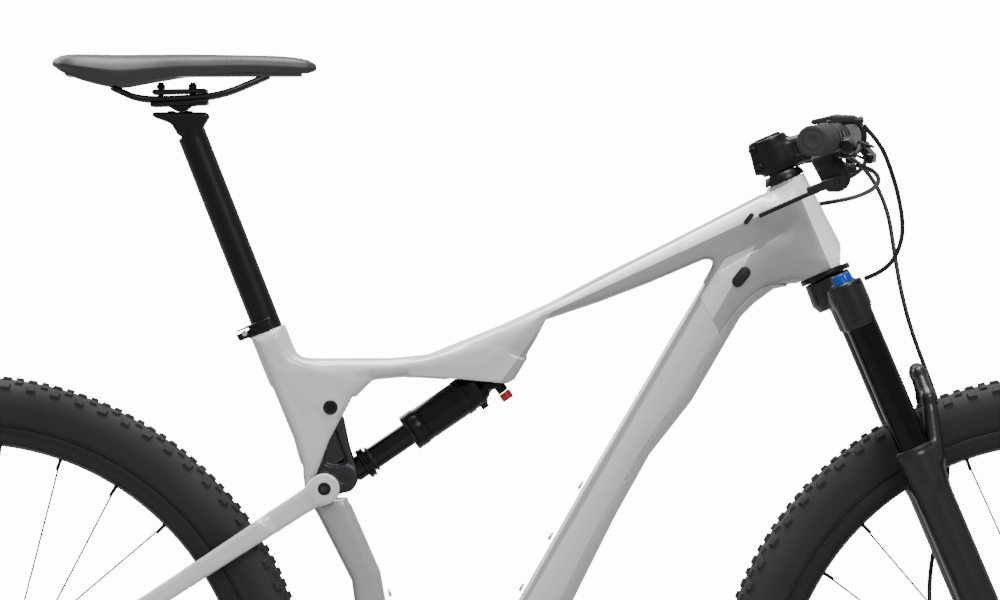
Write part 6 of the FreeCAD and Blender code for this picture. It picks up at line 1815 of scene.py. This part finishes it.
def stage():
    wide = bpy.data.meshes.new("floor")
    rim = [(a, b, 0) for a, b in circle(6, 96)]
    wide.from_pydata(rim, [], [tuple(range(96))])
    floor = bpy.data.objects.new("floor", wide)
    bpy.context.scene.collection.objects.link(floor)
    wide.materials.append(material("Studio Floor"))
    world = bpy.data.worlds.new("studio")
    bpy.context.scene.world = world
    world.use_nodes = True
    sky = world.node_tree.nodes["Background"]
    sky.inputs["Color"].default_value = (1, 1, 1, 1)
    seen = node(world.node_tree, "ShaderNodeLightPath").outputs["Is Camera Ray"]
    level = node(world.node_tree, "ShaderNodeMapRange", {
        0: seen, 3: bpy.context.scene.bike_finish.sky_strength,
        4: bpy.context.scene.bike_finish.backdrop_strength})
    world.node_tree.links.new(level.outputs[0], sky.inputs["Strength"])
    for name, place, aim, size, power in (
            ("key", (1.5, -4.0, 3.6), (0.0, 0, 0.7), 2.2, 170),
            ("top", (-0.3, 0.1, 4.2), (0, 0, 0.6), 2.4, 330),
            ("rim", (-2.5, 3.0, 3.0), (0, 0, 0.7), 2.5, 110)):
        light = bpy.data.lights.new(name, "AREA")
        light.size = size
        light.energy = power
        lamp = bpy.data.objects.new(name, light)
        lamp.location = place
        lamp.rotation_euler = (Vector(aim) - Vector(place)).to_track_quat("-Z", "Y").to_euler()
        bpy.context.scene.collection.objects.link(lamp)
    view = bpy.data.cameras.new("camera")
    view.sensor_width = 36
    view.lens = 303
    view.clip_end = 200
    camera = bpy.data.objects.new("camera", view)
    camera.location = (-0.0145, -9.0, 0.8193)
    camera.rotation_euler = (math.pi / 2, 0, 0)
    bpy.context.scene.collection.objects.link(camera)
    bpy.context.scene.camera = camera


# ---------------------------------------------------------------- add-on


class BikeSizes(bpy.types.PropertyGroup):
    tube_width: FloatProperty(name="Tube width", description="Width of the frame's tubes", default=0.054,
        unit="LENGTH", subtype="DISTANCE")
    knob_height: FloatProperty(name="Knob height", description="Height of the tyres' tread blocks",
        default=0.0025, unit="LENGTH", subtype="DISTANCE")
    tread_pitches: IntProperty(name="Tread pitches", description="Tread blocks in each row round a tyre",
        default=84, min=20)
    hose_diameter: FloatProperty(name="Hose diameter", description="Outer diameter of the hoses and cables",
        default=0.005, unit="LENGTH", subtype="DISTANCE")


class BikeFinish(bpy.types.PropertyGroup):
    rear_grey: FloatVectorProperty(name="Rear grey", description="Paint of the rear of the frame",
        subtype="COLOR", default=(0.50, 0.505, 0.515))
    # the front's mid-grey paint, also used as painted shade in a strip along the down tube's upper edge
    front_grey_and_shade: FloatVectorProperty(name="Front grey", description="Paint of the front of the frame",
        subtype="COLOR", default=(0.275, 0.28, 0.29))
    guard_grey: FloatVectorProperty(name="Guard grey", description="Colour of the down tube's guard",
        subtype="COLOR", default=(0.40, 0.405, 0.415))
    # painted shade on the lower seat tube, below the link
    lower_shade_grey: FloatVectorProperty(name="Lower seat tube grey", description="Paint below the link",
        subtype="COLOR", default=(0.26, 0.265, 0.275))
    wedge_grey: FloatVectorProperty(name="Wedge grey", description="Paint of the wedge behind the head tube",
        subtype="COLOR", default=(0.56, 0.56, 0.57))
    white: FloatVectorProperty(name="White", description="Paint of the bands", subtype="COLOR",
        default=(0.96, 0.96, 0.96))
    # a painted highlight: the pale grey of the band's rear fade
    pale_highlight: FloatVectorProperty(name="Pale grey", description="Paint of the band's rear fade",
        subtype="COLOR", default=(0.84, 0.84, 0.85))
    saddle_colour: FloatVectorProperty(name="Saddle", description="Colour of the saddle's cover",
        subtype="COLOR", default=(0.014, 0.014, 0.0155))
    backdrop_strength: FloatProperty(name="Backdrop strength",
                                     description="Brightness of the seen background",
        default=14.0, min=0)
    sky_strength: FloatProperty(name="Sky strength",
                                description="Brightness of the studio's white surroundings",
        default=0.6, min=0)


class BIKE_OT_frame(bpy.types.Operator):
    """Build the frame's shell, its guard, bearings, bolts and port plugs"""
    bl_idname = "bike.frame"
    bl_label = "Frame"

    def execute(self, context):
        frame_skin()
        frame_fittings()
        return {"FINISHED"}


class BIKE_OT_rear(bpy.types.Operator):
    """Build the swingarm, the link and the shock"""
    bl_idname = "bike.rear"
    bl_label = "Rear suspension"

    def execute(self, context):
        swingarm_skin()
        link_and_shock()
        return {"FINISHED"}


class BIKE_OT_wheels(bpy.types.Operator):
    """Build both wheels with their tyres, rims, hubs and discs"""
    bl_idname = "bike.wheels"
    bl_label = "Wheels"

    def execute(self, context):
        build_wheel("front", FRONT_AXLE, "front_wheel", 55, (-24, 24), 39, False)
        build_wheel("rear", REAR_AXLE, "rear_wheel", 74, (-20, 31), 56.5, True)
        return {"FINISHED"}


class BIKE_OT_drivetrain(bpy.types.Operator):
    """Build the cranks, pedals, sprockets and chain"""
    bl_idname = "bike.drivetrain"
    bl_label = "Drivetrain"

    def execute(self, context):
        drivetrain()
        return {"FINISHED"}


class BIKE_OT_derailleur(bpy.types.Operator):
    """Build the rear derailleur with its cage and pulleys"""
    bl_idname = "bike.derailleur"
    bl_label = "Derailleur"

    def execute(self, context):
        derailleur()
        return {"FINISHED"}


class BIKE_OT_brakes(bpy.types.Operator):
    """Build the brake calipers, master cylinders and levers"""
    bl_idname = "bike.brakes"
    bl_label = "Brakes"

    def execute(self, context):
        brakes()
        brake_levers()
        return {"FINISHED"}


class BIKE_OT_fork(bpy.types.Operator):
    """Build the suspension fork"""
    bl_idname = "bike.fork"
    bl_label = "Fork"

    def execute(self, context):
        fork()
        return {"FINISHED"}


class BIKE_OT_cockpit(bpy.types.Operator):
    """Build the stem, bar, grips, shifter and lockout remote"""
    bl_idname = "bike.cockpit"
    bl_label = "Cockpit"

    def execute(self, context):
        cockpit()
        return {"FINISHED"}


class BIKE_OT_hoses(bpy.types.Operator):
    """Build the brake hoses and the cables"""
    bl_idname = "bike.hoses"
    bl_label = "Hoses"

    def execute(self, context):
        hoses()
        return {"FINISHED"}


class BIKE_OT_seat(bpy.types.Operator):
    """Build the seatpost, the clamp, the rails and the saddle"""
    bl_idname = "bike.seat"
    bl_label = "Seat"

    def execute(self, context):
        seat()
        return {"FINISHED"}


class BIKE_OT_stage(bpy.types.Operator):
    """Set the floor, the lights and the camera"""
    bl_idname = "bike.stage"
    bl_label = "Stage"

    def execute(self, context):
        stage()
        return {"FINISHED"}


OPERATORS = (BIKE_OT_frame, BIKE_OT_rear, BIKE_OT_wheels, BIKE_OT_drivetrain, BIKE_OT_derailleur,
             BIKE_OT_brakes, BIKE_OT_fork, BIKE_OT_cockpit, BIKE_OT_hoses, BIKE_OT_seat, BIKE_OT_stage)


class BIKE_PT_panel(bpy.types.Panel):
    bl_idname = "BIKE_PT_panel"
    bl_label = "Mountain Bike"
    bl_space_type = "VIEW_3D"
    bl_region_type = "UI"
    bl_category = "Bike"

    def draw(self, context):
        for settings in (context.scene.bike_sizes, context.scene.bike_finish):
            for name in settings.bl_rna.properties.keys():
                if name not in ("rna_type", "name"):
                    self.layout.prop(settings, name)
        for operator in OPERATORS:
            self.layout.operator(operator.bl_idname)


CLASSES = (BikeSizes, BikeFinish) + OPERATORS + (BIKE_PT_panel,)


def register():
    for kind in CLASSES:
        bpy.utils.register_class(kind)
    bpy.types.Scene.bike_sizes = PointerProperty(type=BikeSizes)
    bpy.types.Scene.bike_finish = PointerProperty(type=BikeFinish)


def unregister():
    del bpy.types.Scene.bike_finish
    del bpy.types.Scene.bike_sizes
    for kind in reversed(CLASSES):
        bpy.utils.unregister_class(kind)


def main():
    register()
    for operator in OPERATORS:
        group_name, action = operator.bl_idname.split(".")
        getattr(getattr(bpy.ops, group_name), action)()
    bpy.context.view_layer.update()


if __name__ == "__main__":
    main()
